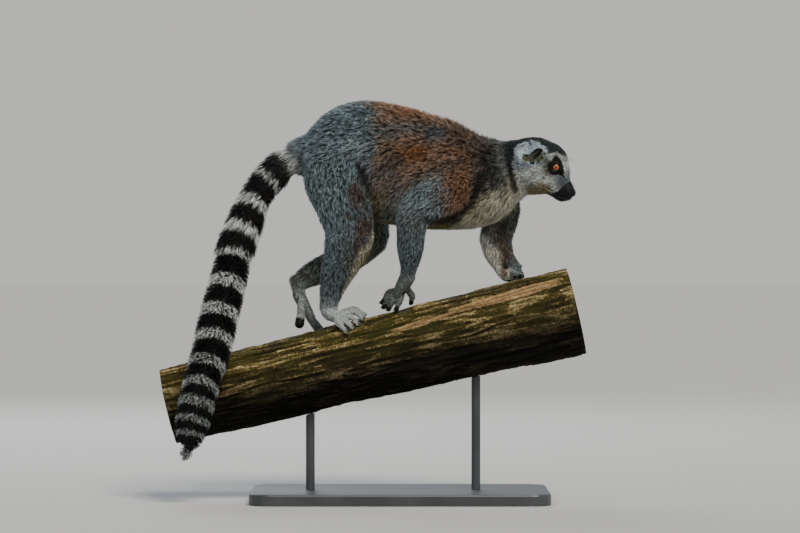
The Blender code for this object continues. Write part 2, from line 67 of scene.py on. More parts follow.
class Finish:
    """A new material's or world's nodes, with a short way of adding each kind."""

    def __init__(self, name, kind="materials"):
        self.owner = getattr(bpy.data, kind).new(name)
        self.owner.use_nodes = True
        self.tree = self.owner.node_tree
        self.tree.nodes.clear()

    def add(self, kind, sockets=None, stops=(), **settings):
        """Adds a node, sets it, gives a ramp its stops, and fills its sockets or links them."""
        node = self.tree.nodes.new("ShaderNode" + kind)
        for name, value in settings.items():
            setattr(node, name, value)
        for index, (place, colour) in enumerate(stops):
            ramp = node.color_ramp.elements
            stop = ramp[index] if index < 2 else ramp.new(place)
            stop.position = place
            stop.color = linear(colour)
        for name, value in (sockets or {}).items():
            if isinstance(value, bpy.types.NodeSocket):
                self.tree.links.new(value, node.inputs[name])
            else:
                node.inputs[name].default_value = value
        return node

    def place(self):
        return self.add("TexCoord").outputs["Object"]

    def stored(self, name, output="Fac"):
        """What the mesh stores for its points under a name."""
        return self.add("Attribute", attribute_name=name).outputs[output]

    def grain(self, place, size, detail=2.0, roughness=0.5):
        """Noise whose features are size mm across."""
        sockets = {"Vector": place, "Scale": 1000 / size, "Detail": detail, "Roughness": roughness}
        return self.add("TexNoise", sockets).outputs["Fac"]

    def ranged(self, value, low, high, new_low=0.0, new_high=1.0):
        """A value moved from one range into another."""
        return self.add("MapRange", {0: value, 1: low, 2: high, 3: new_low, 4: new_high}).outputs[0]

    def maths(self, operation, *values):
        return self.add("Math", dict(enumerate(values)), operation=operation).outputs[0]

    def ramp(self, value, *stops):
        return self.add("ValToRGB", {"Fac": value}, stops).outputs["Color"]

    def blend(self, share, under, over):
        return self.add("Mix", {0: share, 6: under, 7: over}, data_type="RGBA").outputs[2]

    def scaled(self, hue, factor):
        return self.add("VectorMath", {0: hue, "Scale": factor}, operation="SCALE").outputs[0]

    def bump(self, height, strength, distance):
        sockets = {"Height": height, "Strength": strength, "Distance": distance}
        return self.add("Bump", sockets).outputs["Normal"]

    def material(self, sockets):
        """Ends the nodes in one Principled shader with these values and links on its sockets."""
        shader = self.add("BsdfPrincipled", sockets)
        self.add("OutputMaterial", {"Surface": shader.outputs[0]})
        return self.owner


def satin_lacquer():
    """Sprayed satin lacquer: one even dark grey, a little paler where hands have rubbed it."""
    lacquer = Finish("satin_charcoal_lacquer")
    place = lacquer.place()
    tone = lacquer.ramp(lacquer.grain(place, RUB_SIZE, 3),
                        (0.35, BOARD_COLOUR), (0.75, BOARD_WORN_COLOUR))
    peel = lacquer.bump(lacquer.grain(place, PEBBLE_SIZE), 0.12, 0.0004)
    return lacquer.material({"Base Color": tone, "Roughness": 0.38, "IOR": 1.5, "Normal": peel})


LACQUER = satin_lacquer()
for name in ("stand_base", "stand_rod_rear", "stand_rod_front"):
    cad[name].data.materials.clear()
    cad[name].data.materials.append(LACQUER)


# ---------------------------------------------------------------------------
# Perch: a short cut length of a dead limb, its bark split into long plates and ridges and
# worn off in a strip along the upper side, where the tan wood shows. Both ends are sawn.
# The bark's ridges stand as high as the solid; its cracks are sunk into it.

BARK_RINGS, BARK_SIDES, SAW_RINGS = 372, 240, 14
LIMB_RADIUS = 60.0  # mm
RIDGE_LENGTH, RIDGE_WIDTH = 90.0, 8.5  # mm, along and around the limb
PLATE_LENGTH, PLATES_AROUND = 110.0, 3.6
GRIT_LENGTH, GRIT_AROUND = 5.0, 15.0
SCORE_WIDTHS, LONG_CRACK_WIDTH = (1.3, 1.2), 1.5  # degrees around the limb
CRACK_DEPTH, PLATE_STEP, GRIT_DEPTH, LONG_CRACK_DEPTH = 2.6, 1.5, 0.45, 2.4  # mm
STRIP_DEPTH, SCORE_DEPTH = 2.2, 1.3  # mm that the bark's strip is worn down, and its wood is split
STRIP_START, STRIP_END = 20.0, 292.0  # mm along the limb from its middle
STRIP_TURN = ((20.0, 58.0), (90.0, 53.0), (170.0, 45.0), (240.0, 42.0), (300.0, 39.0))  # its middle
STRIP_HALF_WIDTH = ((20.0, 2.5), (70.0, 5.0), (110.0, 4.0), (170.0, 6.5), (235.0, 9.0), (292.0, 6.0))
SAW_MARK = 0.00012  # how deep the saw's marks are, in metres
END_CLEAR = 3.0  # mm inside a sawn end, where the solid is still whole all round
# Long drying cracks: each one's turn from the top in degrees, where it starts and ends, in mm.
LONG_CRACKS = ((8, -330, -120), (24, -60, 210), (38, -300, -40), (50, -20, 250), (63, -345, -150),
               (71, -120, 120), (84, 30, 262), (97, -320, -60), (108, -100, 180), (124, -250, 60),
               (-18, -310, 40), (-40, -100, 240), (-66, -300, 0), (-95, -80, 250), (-130, -300, 100))


def read(items, field, width, kind=float):
    """One field of a mesh's points, edges, faces or corners as rows of an array."""
    flat = np.empty(len(items) * width, kind)
    items.foreach_get(field, flat)
    return flat.reshape(-1, width)


def coordinates(mesh):
    return read(mesh.vertices, "co", 3)


def move_points(mesh, points):
    mesh.vertices.foreach_set("co", points.astype(np.float32).ravel())
    mesh.update()


def smooth_step(value, low, high):
    share = np.clip((value - low) / (high - low), 0, 1)
    return share * share * (3 - 2 * share)


def new_attribute(mesh, name, values):
    """Stores one number or one colour for each point of the mesh."""
    values = np.asarray(values, np.float32)
    if values.ndim == 1:
        mesh.attributes.new(name, "FLOAT", "POINT").data.foreach_set("value", values)
    else:
        rgba = np.ones((len(values), 4), np.float32)
        rgba[:, :3] = values
        mesh.attributes.new(name, "FLOAT_COLOR", "POINT").data.foreach_set("color", rgba.ravel())


def surface_of(nodes):
    """The faces of some CAD nodes as one tree to measure against, and the node of each face."""
    points, faces, owners = [], [], []
    for index, name in enumerate(nodes):
        mesh = cad[name].data
        first = len(points)
        points.extend(v.co.copy() for v in mesh.vertices)
        faces.extend([first + i for i in p.vertices] for p in mesh.polygons)
        owners.extend([index] * len(mesh.polygons))
    return BVHTree.FromPolygons(points, faces), np.array(owners)


def perch_axis():
    """The limb's middle, the way it rises, and the two ways across it: up and to the camera's side."""
    points = coordinates(cad["perch_branch"].data)
    middle = points.mean(0)
    rise = np.linalg.svd(points - middle, full_matrices=False)[2][0]
    rise *= np.sign(rise[0])
    side = np.cross(rise, (0, 0, 1))
    side /= np.linalg.norm(side)
    return middle, rise, np.cross(side, rise), side


PERCH_MIDDLE, PERCH_RISE, PERCH_UP, PERCH_SIDE = perch_axis()


PERCH_WALL, _ = surface_of(["perch_branch"])


def over_bark(run, turn, length, around, pattern, *settings, shift=0.0):
    """A pattern over the bark: its features are length mm long, and around sets how narrow."""
    return np.array([pattern(Vector((a / length, math.cos(t) * around + shift,
                                     math.sin(t) * around)), *settings)
                     for a, t in zip(run, turn)])


def dip(off, width):
    """A rounded groove, 1 at its middle and next to nothing at twice its width."""
    return np.exp(-(off / width) ** 2)


def perch_log():
    """A cylinder ringed finely, moved out to the solid's surface and cut by cracks and plates."""
    ends = (coordinates(cad["perch_branch"].data) - PERCH_MIDDLE) @ PERCH_RISE
    bpy.ops.mesh.primitive_cylinder_add(vertices=BARK_SIDES, radius=1, depth=2, end_fill_type="NGON")
    log = bpy.context.active_object
    log.name = log.data.name = "perch_log"
    shape = bmesh.new()
    shape.from_mesh(log.data)
    walls = [e for e in shape.edges if abs(e.verts[0].co.z - e.verts[1].co.z) > 1]
    bmesh.ops.subdivide_edges(shape, edges=walls, cuts=BARK_RINGS)
    caps = [f for f in shape.faces if len(f.verts) > 4]
    for ring in range(SAW_RINGS):
        bmesh.ops.inset_region(shape, faces=caps, thickness=0.9 / SAW_RINGS, depth=0,
                               use_even_offset=False)
    shape.to_mesh(log.data)
    shape.free()

    points = coordinates(log.data)
    along = np.interp(points[:, 2], (-1, 1), (ends.min(), ends.max()))
    out = np.hypot(points[:, 0], points[:, 1])
    turn = np.arctan2(points[:, 0], points[:, 1])
    ways = np.outer(np.cos(turn), PERCH_UP) + np.outer(np.sin(turn), PERCH_SIDE)
    within_ends = np.clip(along, ends.min() + END_CLEAR / 1000, ends.max() - END_CLEAR / 1000)
    starts = PERCH_MIDDLE + np.outer(within_ends, PERCH_RISE)
    reach = np.array([PERCH_WALL.ray_cast(Vector(s), Vector(w))[3] or LIMB_RADIUS / 1000
                      for s, w in zip(starts, ways)])

    on_wall = out > 0.999
    run = along * 1000
    degrees = np.degrees(turn)
    wave = over_bark(run, turn, RIDGE_LENGTH, LIMB_RADIUS / RIDGE_WIDTH,
                     noise.ridged_multi_fractal, 0.9, 2.1, 4, 1.0, 2.0)
    plate = over_bark(run, turn, PLATE_LENGTH, PLATES_AROUND, noise.fractal, 0.8, 2.2, 4, shift=7.0)
    grit = over_bark(run, turn, GRIT_LENGTH, GRIT_AROUND, noise.fractal, 0.7, 2.0, 3)
    ridge = smooth_step(wave, 0.55, 1.9)
    slab = smooth_step(plate, -0.02, 0.05)
    middle = np.interp(run, *zip(*STRIP_TURN))
    half = np.interp(run, *zip(*STRIP_HALF_WIDTH))
    ragged = np.abs(degrees - middle) / half + 0.45 * plate + 0.25 * grit
    strip = (1 - smooth_step(ragged, 0.85, 1.1)) * smooth_step(run, STRIP_START, STRIP_START + 40)
    strip *= 1 - smooth_step(run + 14 * grit, STRIP_END - 8, STRIP_END)
    scored = np.maximum(dip(degrees - middle + 0.25 * half - 2 * np.sin(run / 23), SCORE_WIDTHS[0]),
                        dip(degrees - middle - 0.45 * half - np.sin(run / 13), SCORE_WIDTHS[1]))
    split = np.zeros(len(run))
    for index, (at, start, end) in enumerate(LONG_CRACKS):
        line = at + 5 * np.sin(run / 61 + index) + 2.2 * np.sin(run / 17 + 2 * index)
        off = (degrees - line + 180) % 360 - 180
        ends_here = smooth_step(run, start, start + 50) * (1 - smooth_step(run, end - 50, end))
        split = np.maximum(split, ends_here * dip(off, LONG_CRACK_WIDTH))
    depth = (1 - ridge) * CRACK_DEPTH + (1 - slab) * PLATE_STEP + GRIT_DEPTH * grit
    depth += LONG_CRACK_DEPTH * split
    depth = depth * (1 - strip) + strip * (STRIP_DEPTH + 0.35 * (1 - ridge) + SCORE_DEPTH * scored)
    depth = np.clip(depth, 0, None) * on_wall
    radius = (reach - depth / 1000) * out
    sawn = np.where(on_wall, 0, np.sin(points[:, 0] * 55 + 9 * points[:, 1]) * SAW_MARK)
    along = np.clip(along, ends.min(), ends.max()) - sawn * np.sign(along) - 0.0002 * np.sign(along)
    placed = PERCH_MIDDLE + np.outer(along, PERCH_RISE) + ways * radius[:, None]
    move_points(log.data, placed)
    log.data.flip_normals()  # the cylinder's sides run the other way round on the limb
    new_attribute(log.data, "crack", np.clip(depth / (CRACK_DEPTH + PLATE_STEP), 0, 1))
    new_attribute(log.data, "strip", strip * on_wall)
    # Painted light and shade: how far round towards the underside each point of the bark lies.
    new_attribute(log.data, "underside_shade", smooth_step(-np.cos(turn), -0.8, 0.5) * on_wall)
    new_attribute(log.data, "sawn", np.where(on_wall, 0.0, 1.0))
    new_attribute(log.data, "ring", np.where(on_wall, 1.0, out))
    log.data.shade_smooth()
    return log


def weathered_bark():
    """Dry furrowed bark, matt and brown with a green film, bare tan wood where it has worn off."""
    bark = Finish("weathered_bark_and_bare_wood")
    place = bark.place()
    slope = math.atan2(PERCH_RISE[2], PERCH_RISE[0])
    laid = bark.add("Mapping", {"Vector": place, "Rotation": (0, slope, 0), "Scale": (0.6, 1, 1)})
    crack, strip, underside_shade, sawn, ring = map(bark.stored, ("crack", "strip", "underside_shade", "sawn", "ring"))
    fibre = bark.grain(laid.outputs[0], 5.0, 9, 0.78)
    patch = bark.grain(place, 38, 5)
    fleck = bark.grain(place, 2.4, 5, 0.7)
    # Painted shade: the bark's colour darkens with how deep it is sunk, in its cracks and furrows.
    raised = bark.maths("SUBTRACT", fibre, bark.maths("MULTIPLY", crack, 0.8))
    lit = bark.maths("ADD", raised, bark.ranged(fleck, 0.3, 0.7, 0.2, 0.78))
    brown = bark.ramp(lit, (0.2, "#0c0903"), (1.0, "#b3a27a"), (0.47, "#28200d"),
                      (0.66, "#4b4022"), (0.84, "#77683f"))
    filmed = bark.blend(bark.ranged(patch, 0.38, 0.66, 0.1, 0.62), brown, linear("#39390f"))
    tan = bark.ramp(fibre, (0.34, "#57432a"), (0.7, "#c9b08a"), (0.5, "#9a7d54"))
    # Painted shade: the bare wood darkens where its splits are deep.
    wood = bark.blend(strip, filmed, bark.scaled(tan, bark.ranged(crack, 0.5, 0.9, 1.0, 0.3)))
    # Painted light and shade: the bark a little lighter on top and nearly black underneath.
    shaded = bark.scaled(wood, bark.ranged(underside_shade, 0.0, 1.0, 1.12, 0.07))
    rings = bark.maths("ADD", bark.maths("MULTIPLY", ring, 80.0), bark.maths("MULTIPLY", patch, 34.0))
    year = bark.ranged(bark.maths("SINE", rings), -1.0, 1.0)
    end = bark.ramp(year, (0.0, "#75654a"), (1.0, "#8f7f62"))
    return bark.material({"Base Color": bark.blend(sawn, shaded, end), "Roughness": 0.85,
                          "IOR": 1.45, "Specular IOR Level": 0.18,
                          "Normal": bark.bump(fleck, 0.5, 0.001)})


log = perch_log()
log.data.materials.append(weathered_bark())
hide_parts("perch_branch")
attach(log, "root")


# ---------------------------------------------------------------------------
# Skin: one closed hide from nose to tail tip, as a taxidermist's form has under the coat. It
# is the flesh solids grown together, then drawn inwards everywhere by the depth of the coat
# there, so that the coat's tips come back out to the solids.

FLESH = [n for n in cad if not n.startswith(("stand_", "perch_", "eye_"))]

# For each kind of part, in mm: how deep the coat is, how long its tufts are, how wide, how far
# apart they root, and how far apart its locks are, in the order of the names below the table.
COAT = {
    "head": (2.4, 5.6, 0.8, 1.12, 2.6),
    "ear": (1.1, 6.2, 0.75, 1.05, 2.6),
    "neck": (7.5, 15.5, 1.2, 1.5, 4.6),
    "trunk": (7.5, 12.5, 1.05, 1.5, 4.2),
    "upper_arm": (5.5, 9.5, 1.0, 1.45, 3.8),
    "forearm": (3.4, 6.8, 0.9, 1.32, 3.3),
    "hand": (0.9, 3.5, 0.75, 1.25, 2.4),
    "thigh": (6.5, 11.0, 1.05, 1.5, 4.0),
    "shank": (4.0, 7.6, 0.95, 1.4, 3.5),
    "foot": (0.9, 3.5, 0.75, 1.25, 2.4),
    "tail": (15.0, 24.0, 1.15, 1.5, 4.6),
}
DEPTH, LENGTH, WIDTH, SPACING, LOCK = range(5)
# How deep the coat is over the head, by how far ahead of the eyes it is, in mm.
HEAD_DEPTH = ((-70, 5.0), (-45, 3.2), (-15, 1.6), (5, 0.8), (14, 0.15))
DEPTH_ROUNDS, DRAW_STEPS = 12, 6  # how often the depth is evened out, and the skin drawn in
ROUGH_VOXEL, FINE_VOXEL = 0.0019, 0.00105
SEAM_SWELL = 0.0006  # closes the saw gaps between the solids
SKIN_TRIANGLES = 142000
ORBIT_RISE = 3.4  # mm that the rim of the orbit lifts the skin round each eye
LID_REACH = 9.0  # mm from the eye's middle to the lids' outer side
LID_OPENING = (45.0, 38.0)  # degrees from the gaze to the lids' edge, along and up
LID_BACK, LID_RIM = 5.6, 0.35  # mm from the eye's middle that the opening is drawn back to, and
                               # that the lids' edge stands out

# A paw is a palm or sole, as stations (x, y, z, half depth, half width), and digits from the thumb
# or great toe outwards. A digit has its root, as a point, then its knuckles and its tip, each as
# (along the limb, turn from its top, height over the bark), and its radius at each.
FINGER, TOE, GREAT_TOE = (4.4, 3.7, 2.9), (4.4, 3.8, 3.0), (5.4, 4.6, 4.2)
CURLED, PADDED = (5.0, 4.5, 3.5), (5.4, 5.4, 6.8)
PAWS = {
    "foot_right": (
        ((-101, -20, 300, 14, 12), (-103, -18, 285, 13.5, 12), (-101, -18, 273, 12, 13),
         (-94, -20, 267, 9, 13.5), (-86, -21, 265, 7, 13)),
        (((-86, -12, 270), (-52, -8, 15), (-40, -10, 4.4), GREAT_TOE),
         ((-85, -17, 267), (-51, 12, 12), (-42, 19, 3.2), TOE),
         ((-86, -22, 265), (-57, 23, 10), (-50, 31, 3.2), TOE),
         ((-88, -27, 263), (-66, 28, 9.0), (-59, 36, 3.2), TOE),
         ((-91, -31, 261), (-75, 31, 8.5), (-69, 40, 3.2), TOE))),
    "foot_left": (
        ((-154, 27, 319, 7, 7), (-149, 27, 313, 10, 10), (-147, 26, 297, 9.5, 10),
         (-138, 28, 279, 8, 11), (-130, 31, 264, 6.5, 12)),
        (((-144, 17, 290), (-128, -6, 27), (-133, -6, 14), PADDED),
         ((-131, 24, 266), (-108, -24, 10.5), (-100, -44, 3.0), TOE),
         ((-130, 30, 264), (-107, -30, 10.5), (-99, -52, 3.0), TOE),
         ((-130, 35, 263), (-107, -37, 10.5), (-99, -60, 3.0), TOE),
         ((-132, 40, 262), (-109, -44, 9.5), (-102, -67, 3.0), TOE))),
    "hand_right": (
        ((12, -34, 334, 11, 11), (11, -31, 325, 11, 11.5), (6, -25, 315, 10.5, 12.5),
         (1, -19, 306, 9, 13), (-2, -16, 301, 7.5, 12)),
        (((8, -11, 309), (35, 4, 14), (32, 2, 4.0), CURLED),
         ((3, -21, 302), (16, 17, 14), (9, 20, 4.0), CURLED),
         ((-1, -19, 300), (7, 13.5, 15), (-2, 12, 4.2), CURLED),
         ((-3, -14, 301), (4, 8, 20), (-8, 6, 8), CURLED),
         ((-2, -9, 304), (4, 3, 26), (-9, 1, 14.5), CURLED))),
    "hand_left": (
        ((143, 29, 356, 15, 12), (153, 29, 343, 18, 13), (163, 28, 331, 18, 13.5),
         (169, 27, 325, 12, 13.5)),
        (((166, 14, 327), (184, 1, 10), (195, -3, 3.4), FINGER),
         ((172, 18, 326), (190, -20, 10), (199, -30, 3.0), FINGER),
         ((173, 25, 324), (192, -30, 10), (200, -42, 3.0), FINGER),
         ((172, 31, 322), (191, -40, 10), (198, -53, 3.0), FINGER),
         ((169, 36, 319), (187, -50, 10), (192, -64, 3.0), FINGER))),
}
INTO_PALM = 0.12  # how far a digit goes on into its palm or sole, as a share of its first bone
TIP_SHARE = 0.42  # how long its pad is, as a share of its last bone
KNUCKLE_SWELL = 1.06


def kind_of(node):
    return next(kind for kind in COAT if node.startswith(kind))


def of_kind(*kinds):
    """Which of the FLESH solids are of these kinds."""
    return np.array([kind_of(name) in kinds for name in FLESH])


def share_of(weights, *kinds):
    """How far each point belongs to solids of these kinds."""
    return sum(weights[:, i] for i in np.nonzero(of_kind(*kinds))[0])


def new_object(name, data):
    """A new object of the scene with this mesh, lamp or camera."""
    obj = bpy.data.objects.new(name, data)
    bpy.context.scene.collection.objects.link(obj)
    return obj


def object_from(shape, name):
    mesh = bpy.data.meshes.new(name)
    shape.to_mesh(mesh)
    shape.free()
    return new_object(name, mesh)


def apply_modifier(obj, kind, **settings):
    """Adds a modifier, sets it and applies it, as in the modifier panel."""
    bpy.context.view_layer.objects.active = obj
    modifier = obj.modifiers.new(kind.lower(), kind)
    for name, value in settings.items():
        setattr(modifier, name, value)
    bpy.ops.object.modifier_apply(modifier=modifier.name)


def middle_of(node):
    low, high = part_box(node)
    return np.array((low + high) / 2)


EYES = {side: middle_of("eye_" + side) for side in ("left", "right")}
FACE_MIDDLE = (EYES["left"] + EYES["right"]) / 2
FACE_LEFT = (EYES["left"] - EYES["right"]) / np.linalg.norm(EYES["left"] - EYES["right"])
FACE_AHEAD = np.cross(FACE_LEFT, (0, 0, 1))
EYE_RADIUS = (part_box("eye_left")[1].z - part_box("eye_left")[0].z) / 2
GAZE_TURN, GAZE_DROP = 76, 14  # degrees that each eye looks out from straight ahead, and down


def on_face(points):
    """Points as mm ahead of, left of and above the middle between the eyes."""
    away = (points - FACE_MIDDLE) * 1000
    return away @ FACE_AHEAD, away @ FACE_LEFT, away[:, 2]


def gaze(side):
    turn, drop = math.radians(GAZE_TURN), math.radians(GAZE_DROP)
    out = FACE_LEFT if side == "left" else -FACE_LEFT
    level = FACE_AHEAD * math.cos(turn) + out * math.sin(turn)
    return level * math.cos(drop) - np.array((0, 0, math.sin(drop)))


def grown_together():
    """The flesh solids swollen by a hair's breadth and remeshed as one closed surface."""
    body = bmesh.new()
    for name in [n for n in FLESH if n not in PAWS]:
        part = bmesh.new()
        part.from_mesh(cad[name].data)
        bmesh.ops.remove_doubles(part, verts=part.verts, dist=0.00001)
        part.normal_update()
        for vert in part.verts:
            vert.co += vert.normal * SEAM_SWELL
        swollen = bpy.data.meshes.new(name)
        part.to_mesh(swollen)
        part.free()
        body.from_mesh(swollen)
        bpy.data.meshes.remove(swollen)
    skin = object_from(body, "skin")
    apply_modifier(skin, "REMESH", mode="VOXEL", voxel_size=ROUGH_VOXEL)
    return skin


def normals_of(mesh):
    return read(mesh.vertex_normals, "vector", 3)


def edges_of(mesh):
    return read(mesh.edges, "vertices", 2, np.int64)


def spread(values, edges, rounds, share=0.6):
    """Evens a value out over the surface, each point towards the mean of its neighbours."""
    columns = values.reshape(len(values), -1).astype(float).copy()
    a, b = edges.T
    ends, others = np.concatenate((a, b)), np.concatenate((b, a))
    count = np.maximum(np.bincount(ends, minlength=len(values)), 1)[:, None]
    share = np.asarray(share).reshape(-1, 1)
    for _ in range(rounds):
        mean = np.stack([np.bincount(ends, column[others], minlength=len(values))
                         for column in columns.T], axis=1) / count
        columns += (mean - columns) * share
    return columns.reshape(values.shape)


SOLID_SURFACE, FACE_OWNERS = surface_of(FLESH)


def nearest_nodes(points):
    """The index in FLESH of the solid that each point lies nearest to."""
    return FACE_OWNERS[[SOLID_SURFACE.find_nearest(Vector(p))[2] for p in points]]


def coat_depth(points, owners):
    """How deep the coat lies over each point, in mm."""
    depth = np.array([COAT[kind_of(name)][DEPTH] for name in FLESH])[owners]
    ahead, _, _ = on_face(points)
    on_head = of_kind("head")[owners]
    depth[on_head] = np.interp(ahead[on_head], *zip(*HEAD_DEPTH))
    for side in EYES:
        gap = np.linalg.norm(points - EYES[side] - gaze(side) * 0.006, axis=1) * 1000
        depth -= on_head * ORBIT_RISE * (1 - smooth_step(gap, 5, 15))
    return depth


def even_depth(points, owners, edges):
    """The coat's depth with no step between one kind of part and the next."""
    return spread(coat_depth(points, owners), edges, DEPTH_ROUNDS)


def draw_in(skin):
    """Draws the skin inwards by the coat's depth in small steps, evening it out as it goes."""
    mesh = skin.data
    edges = edges_of(mesh)
    points = coordinates(mesh)
    depth = even_depth(points, nearest_nodes(points), edges) / 1000
    for _ in range(DRAW_STEPS):
        points = points - normals_of(mesh) * depth[:, None] / DRAW_STEPS
        points = spread(points, edges, 2, np.clip(depth * 90, 0.02, 0.5))
        move_points(mesh, points)


def through(rows, per_gap):
    """Rows of numbers read off a smooth curve through the given ones."""
    rows = np.array(rows, float)
    ends = np.vstack([2 * rows[0] - rows[1], rows, 2 * rows[-1] - rows[-2]])
    t = np.arange(per_gap)[:, None] / per_gap
    legs = [0.5 * (2 * b + (c - a) * t + (2 * a - 5 * b + 4 * c - d) * t ** 2
                   + (3 * b - a - 3 * c + d) * t ** 3)
            for a, b, c, d in zip(ends, ends[1:], ends[2:], ends[3:])]
    return np.vstack(legs + [rows[-1:]])


CAP_ANGLES = (72, 48, 24)  # degrees, of the loops that round off a tube's ends


def add_tube(shape, rows, sides=14, per_gap=6):
    """A closed tube with round ends through stations (x, y, z, half depth, half width) in mm."""
    rows = through(rows, per_gap)
    middles, ways = rows[:, :3], unit(np.gradient(rows[:, :3], axis=0))
    rounds = [(0, -1, a) for a in CAP_ANGLES] + [(k, 0, 0) for k in range(len(rows))]
    rounds += [(-1, 1, a) for a in reversed(CAP_ANGLES)]
    turns = [math.tau * k / sides for k in range(sides)]
    loops = []
    for index, sign, angle in rounds:
        way, (deep, wide) = ways[index], rows[index, 3:5]
        across = unit((np.array((0, 1.0, 0)) - way * way[1])[None])[0]
        up = np.cross(way, across)
        ease, out = math.cos(math.radians(angle)), math.sin(math.radians(angle))
        middle = middles[index] + way * (sign * min(deep, wide) * out)
        loops.append([shape.verts.new((middle + up * (deep * ease * math.sin(t))
                                       + across * (wide * ease * math.cos(t))) / 1000)
                      for t in turns])
    made = [shape.faces.new((low[k], low[(k + 1) % sides], high[(k + 1) % sides], high[k]))
            for low, high in zip(loops, loops[1:]) for k in range(sides)]
    made += [shape.faces.new(loops[0][::-1]), shape.faces.new(loops[-1])]
    bmesh.ops.recalc_face_normals(shape, faces=made)


def unit(vectors):
    return vectors / np.maximum(np.linalg.norm(vectors, axis=1), 1e-9)[:, None]


def on_perch(along, turn, height):
    """A point in mm over the bark, so far along the limb and turned from its top to the camera."""
    out = PERCH_UP * math.cos(math.radians(turn)) + PERCH_SIDE * math.sin(math.radians(turn))
    start = PERCH_MIDDLE + PERCH_RISE * (along / 1000 - PERCH_MIDDLE[0] / PERCH_RISE[0])
    reach = PERCH_WALL.ray_cast(Vector(start), Vector(out))[3]
    return (start + out * (reach + height / 1000)) * 1000


TIPS = []  # of each digit: its paw, its tip in mm, the way it points, and its radius


def paws_and_lids(skin):
    """Joins to the skin its hands and feet, digit by digit, and a ball of lid round each eye."""
    shape = bmesh.new()
    shape.from_mesh(skin.data)
    for name, (sole, digits) in PAWS.items():
        add_tube(shape, sole)
        for root, knuckle, tip, radii in digits:
            joints = (root, on_perch(*knuckle), on_perch(*tip))
            base = tuple(np.array(joints[0]) + (np.array(joints[0]) - joints[1]) * INTO_PALM)
            last = joints[2] + (joints[1] - joints[2]) * TIP_SHARE
            knob = radii[1] * KNUCKLE_SWELL
            rows = [(*base, radii[0], radii[0]), (*joints[0], radii[0], radii[0]),
                    (*joints[1], knob, knob), (*last, radii[2], radii[2]),
                    (*joints[2], radii[2] * 1.04, radii[2] * 1.12)]
            add_tube(shape, rows, sides=12)
            TIPS.append((name, joints[2], joints[2] - last, radii[2]))
    for side in EYES:
        ball = bmesh.ops.create_uvsphere(shape, u_segments=40, v_segments=28,
                                         radius=LID_REACH / 1000)
        bmesh.ops.translate(shape, verts=ball["verts"], vec=EYES[side])
    shape.to_mesh(skin.data)
    shape.free()


def open_lids(skin):
    """Eases the lids into the face, and draws them back from the opening to show the eye."""
    mesh = skin.data
    points = coordinates(mesh)
    edges = edges_of(mesh)
    for side in EYES:
        away = (points - EYES[side]) * 1000
        reach = np.linalg.norm(away, axis=1)
        round_eye = smooth_step(reach, 8.6, 9.6) * (1 - smooth_step(reach, 12.5, 17.0))
        points = spread(points, edges, 14, 0.6 * round_eye)
        away = (points - EYES[side]) * 1000
        reach = np.linalg.norm(away, axis=1)
        out = gaze(side)
        across = np.cross((0, 0, 1), out)
        upright = np.cross(out, across)
        angle = np.degrees(np.arccos(np.clip(away @ out / np.maximum(reach, 1e-6), -1, 1)))
        turn = np.arctan2(away @ upright, away @ across)
        wide, high = LID_OPENING
        edge = 1 / np.sqrt((np.cos(turn) / wide) ** 2 + (np.sin(turn) / high) ** 2)
        inside = (1 - smooth_step(angle - edge, -7.0, 3.0)) * (reach < 12)
        rim = np.exp(-((angle - edge - 7.0) / 5.5) ** 2) * (reach < 12) * (reach > 7)
        wanted = reach + (LID_BACK - reach) * inside + LID_RIM * rim
        points = EYES[side] + away * (wanted / np.maximum(reach, 1e-6))[:, None] / 1000
    move_points(mesh, points)


def from_path(across, up, path):
    """How far points in a flat view are from a line through some corners."""
    nearest = np.full(len(across), 1e9)
    for (x0, y0), (x1, y1) in zip(path, path[1:]):
        run, rise = x1 - x0, y1 - y0
        share = np.clip(((across - x0) * run + (up - y0) * rise) / (run * run + rise * rise), 0, 1)
        nearest = np.minimum(nearest, np.hypot(across - x0 - share * run, up - y0 - share * rise))
    return nearest


def near_path(across, up, path, radius):
    """How near points are to a line in a flat view: 1 close to it, 0 past radius."""
    return 1 - smooth_step(from_path(across, up, path), 0.35 * radius, radius)


def from_the_side(points):
    """x and z in mm of the head's points, its left half mirrored onto its right."""
    over = np.maximum((points - FACE_MIDDLE) @ FACE_LEFT, 0)
    x, _, z = (points - 2 * over[:, None] * FACE_LEFT).T * 1000
    return x, z


def within(across, up, outline, soft):
    """How far points in a flat view are inside an outline: 0 outside it, 1 inside, soft between."""
    inside = np.zeros(len(across), bool)
    for (x0, y0), (x1, y1) in zip(outline, outline[1:] + outline[:1]):
        crosses = (y0 > up) != (y1 > up)
        inside ^= crosses & (across < x0 + (x1 - x0) * (up - y0) / ((y1 - y0) or 1e-9))
    nearest = from_path(across, up, outline + outline[:1])
    return smooth_step(np.where(inside, nearest, -nearest), -soft, soft)


# The ear from its side, in mm: the fluffy white of it, the hollow that leads into the head, the
# dark line in front of it and the paler fold within the hollow.
WHITE_OF_EAR = ((167.4, 501.5), (168.0, 509.7), (171.5, 516.7), (179.1, 519.8), (185.5, 517.3),
                (187.6, 510.8), (190.6, 519.2), (195.4, 520.4), (204.7, 519.0), (211.1, 515.5),
                (214.3, 510.3), (213.4, 502.7), (210.5, 496.3), (205.3, 489.9), (202.4, 485.2),
                (187.2, 482.9), (168.6, 485.2))
EAR_HOLLOW = ((176.1, 500.6), (187.2, 499.6), (192.5, 505.3), (196.0, 508.6), (204.1, 507.8),
              (204.9, 504.4), (199.5, 498.6), (193.8, 493.4), (193.4, 486.4), (190.1, 484.8),
              (187.0, 487.5), (186.0, 494.5), (181.4, 497.3))
EAR_FRONT = ((203.0, 486.0), (210.5, 493.0), (213.5, 499.0))
HOLLOW_FOLD = ((184.5, 497.5), (192.0, 500.0), (199.5, 505.8))
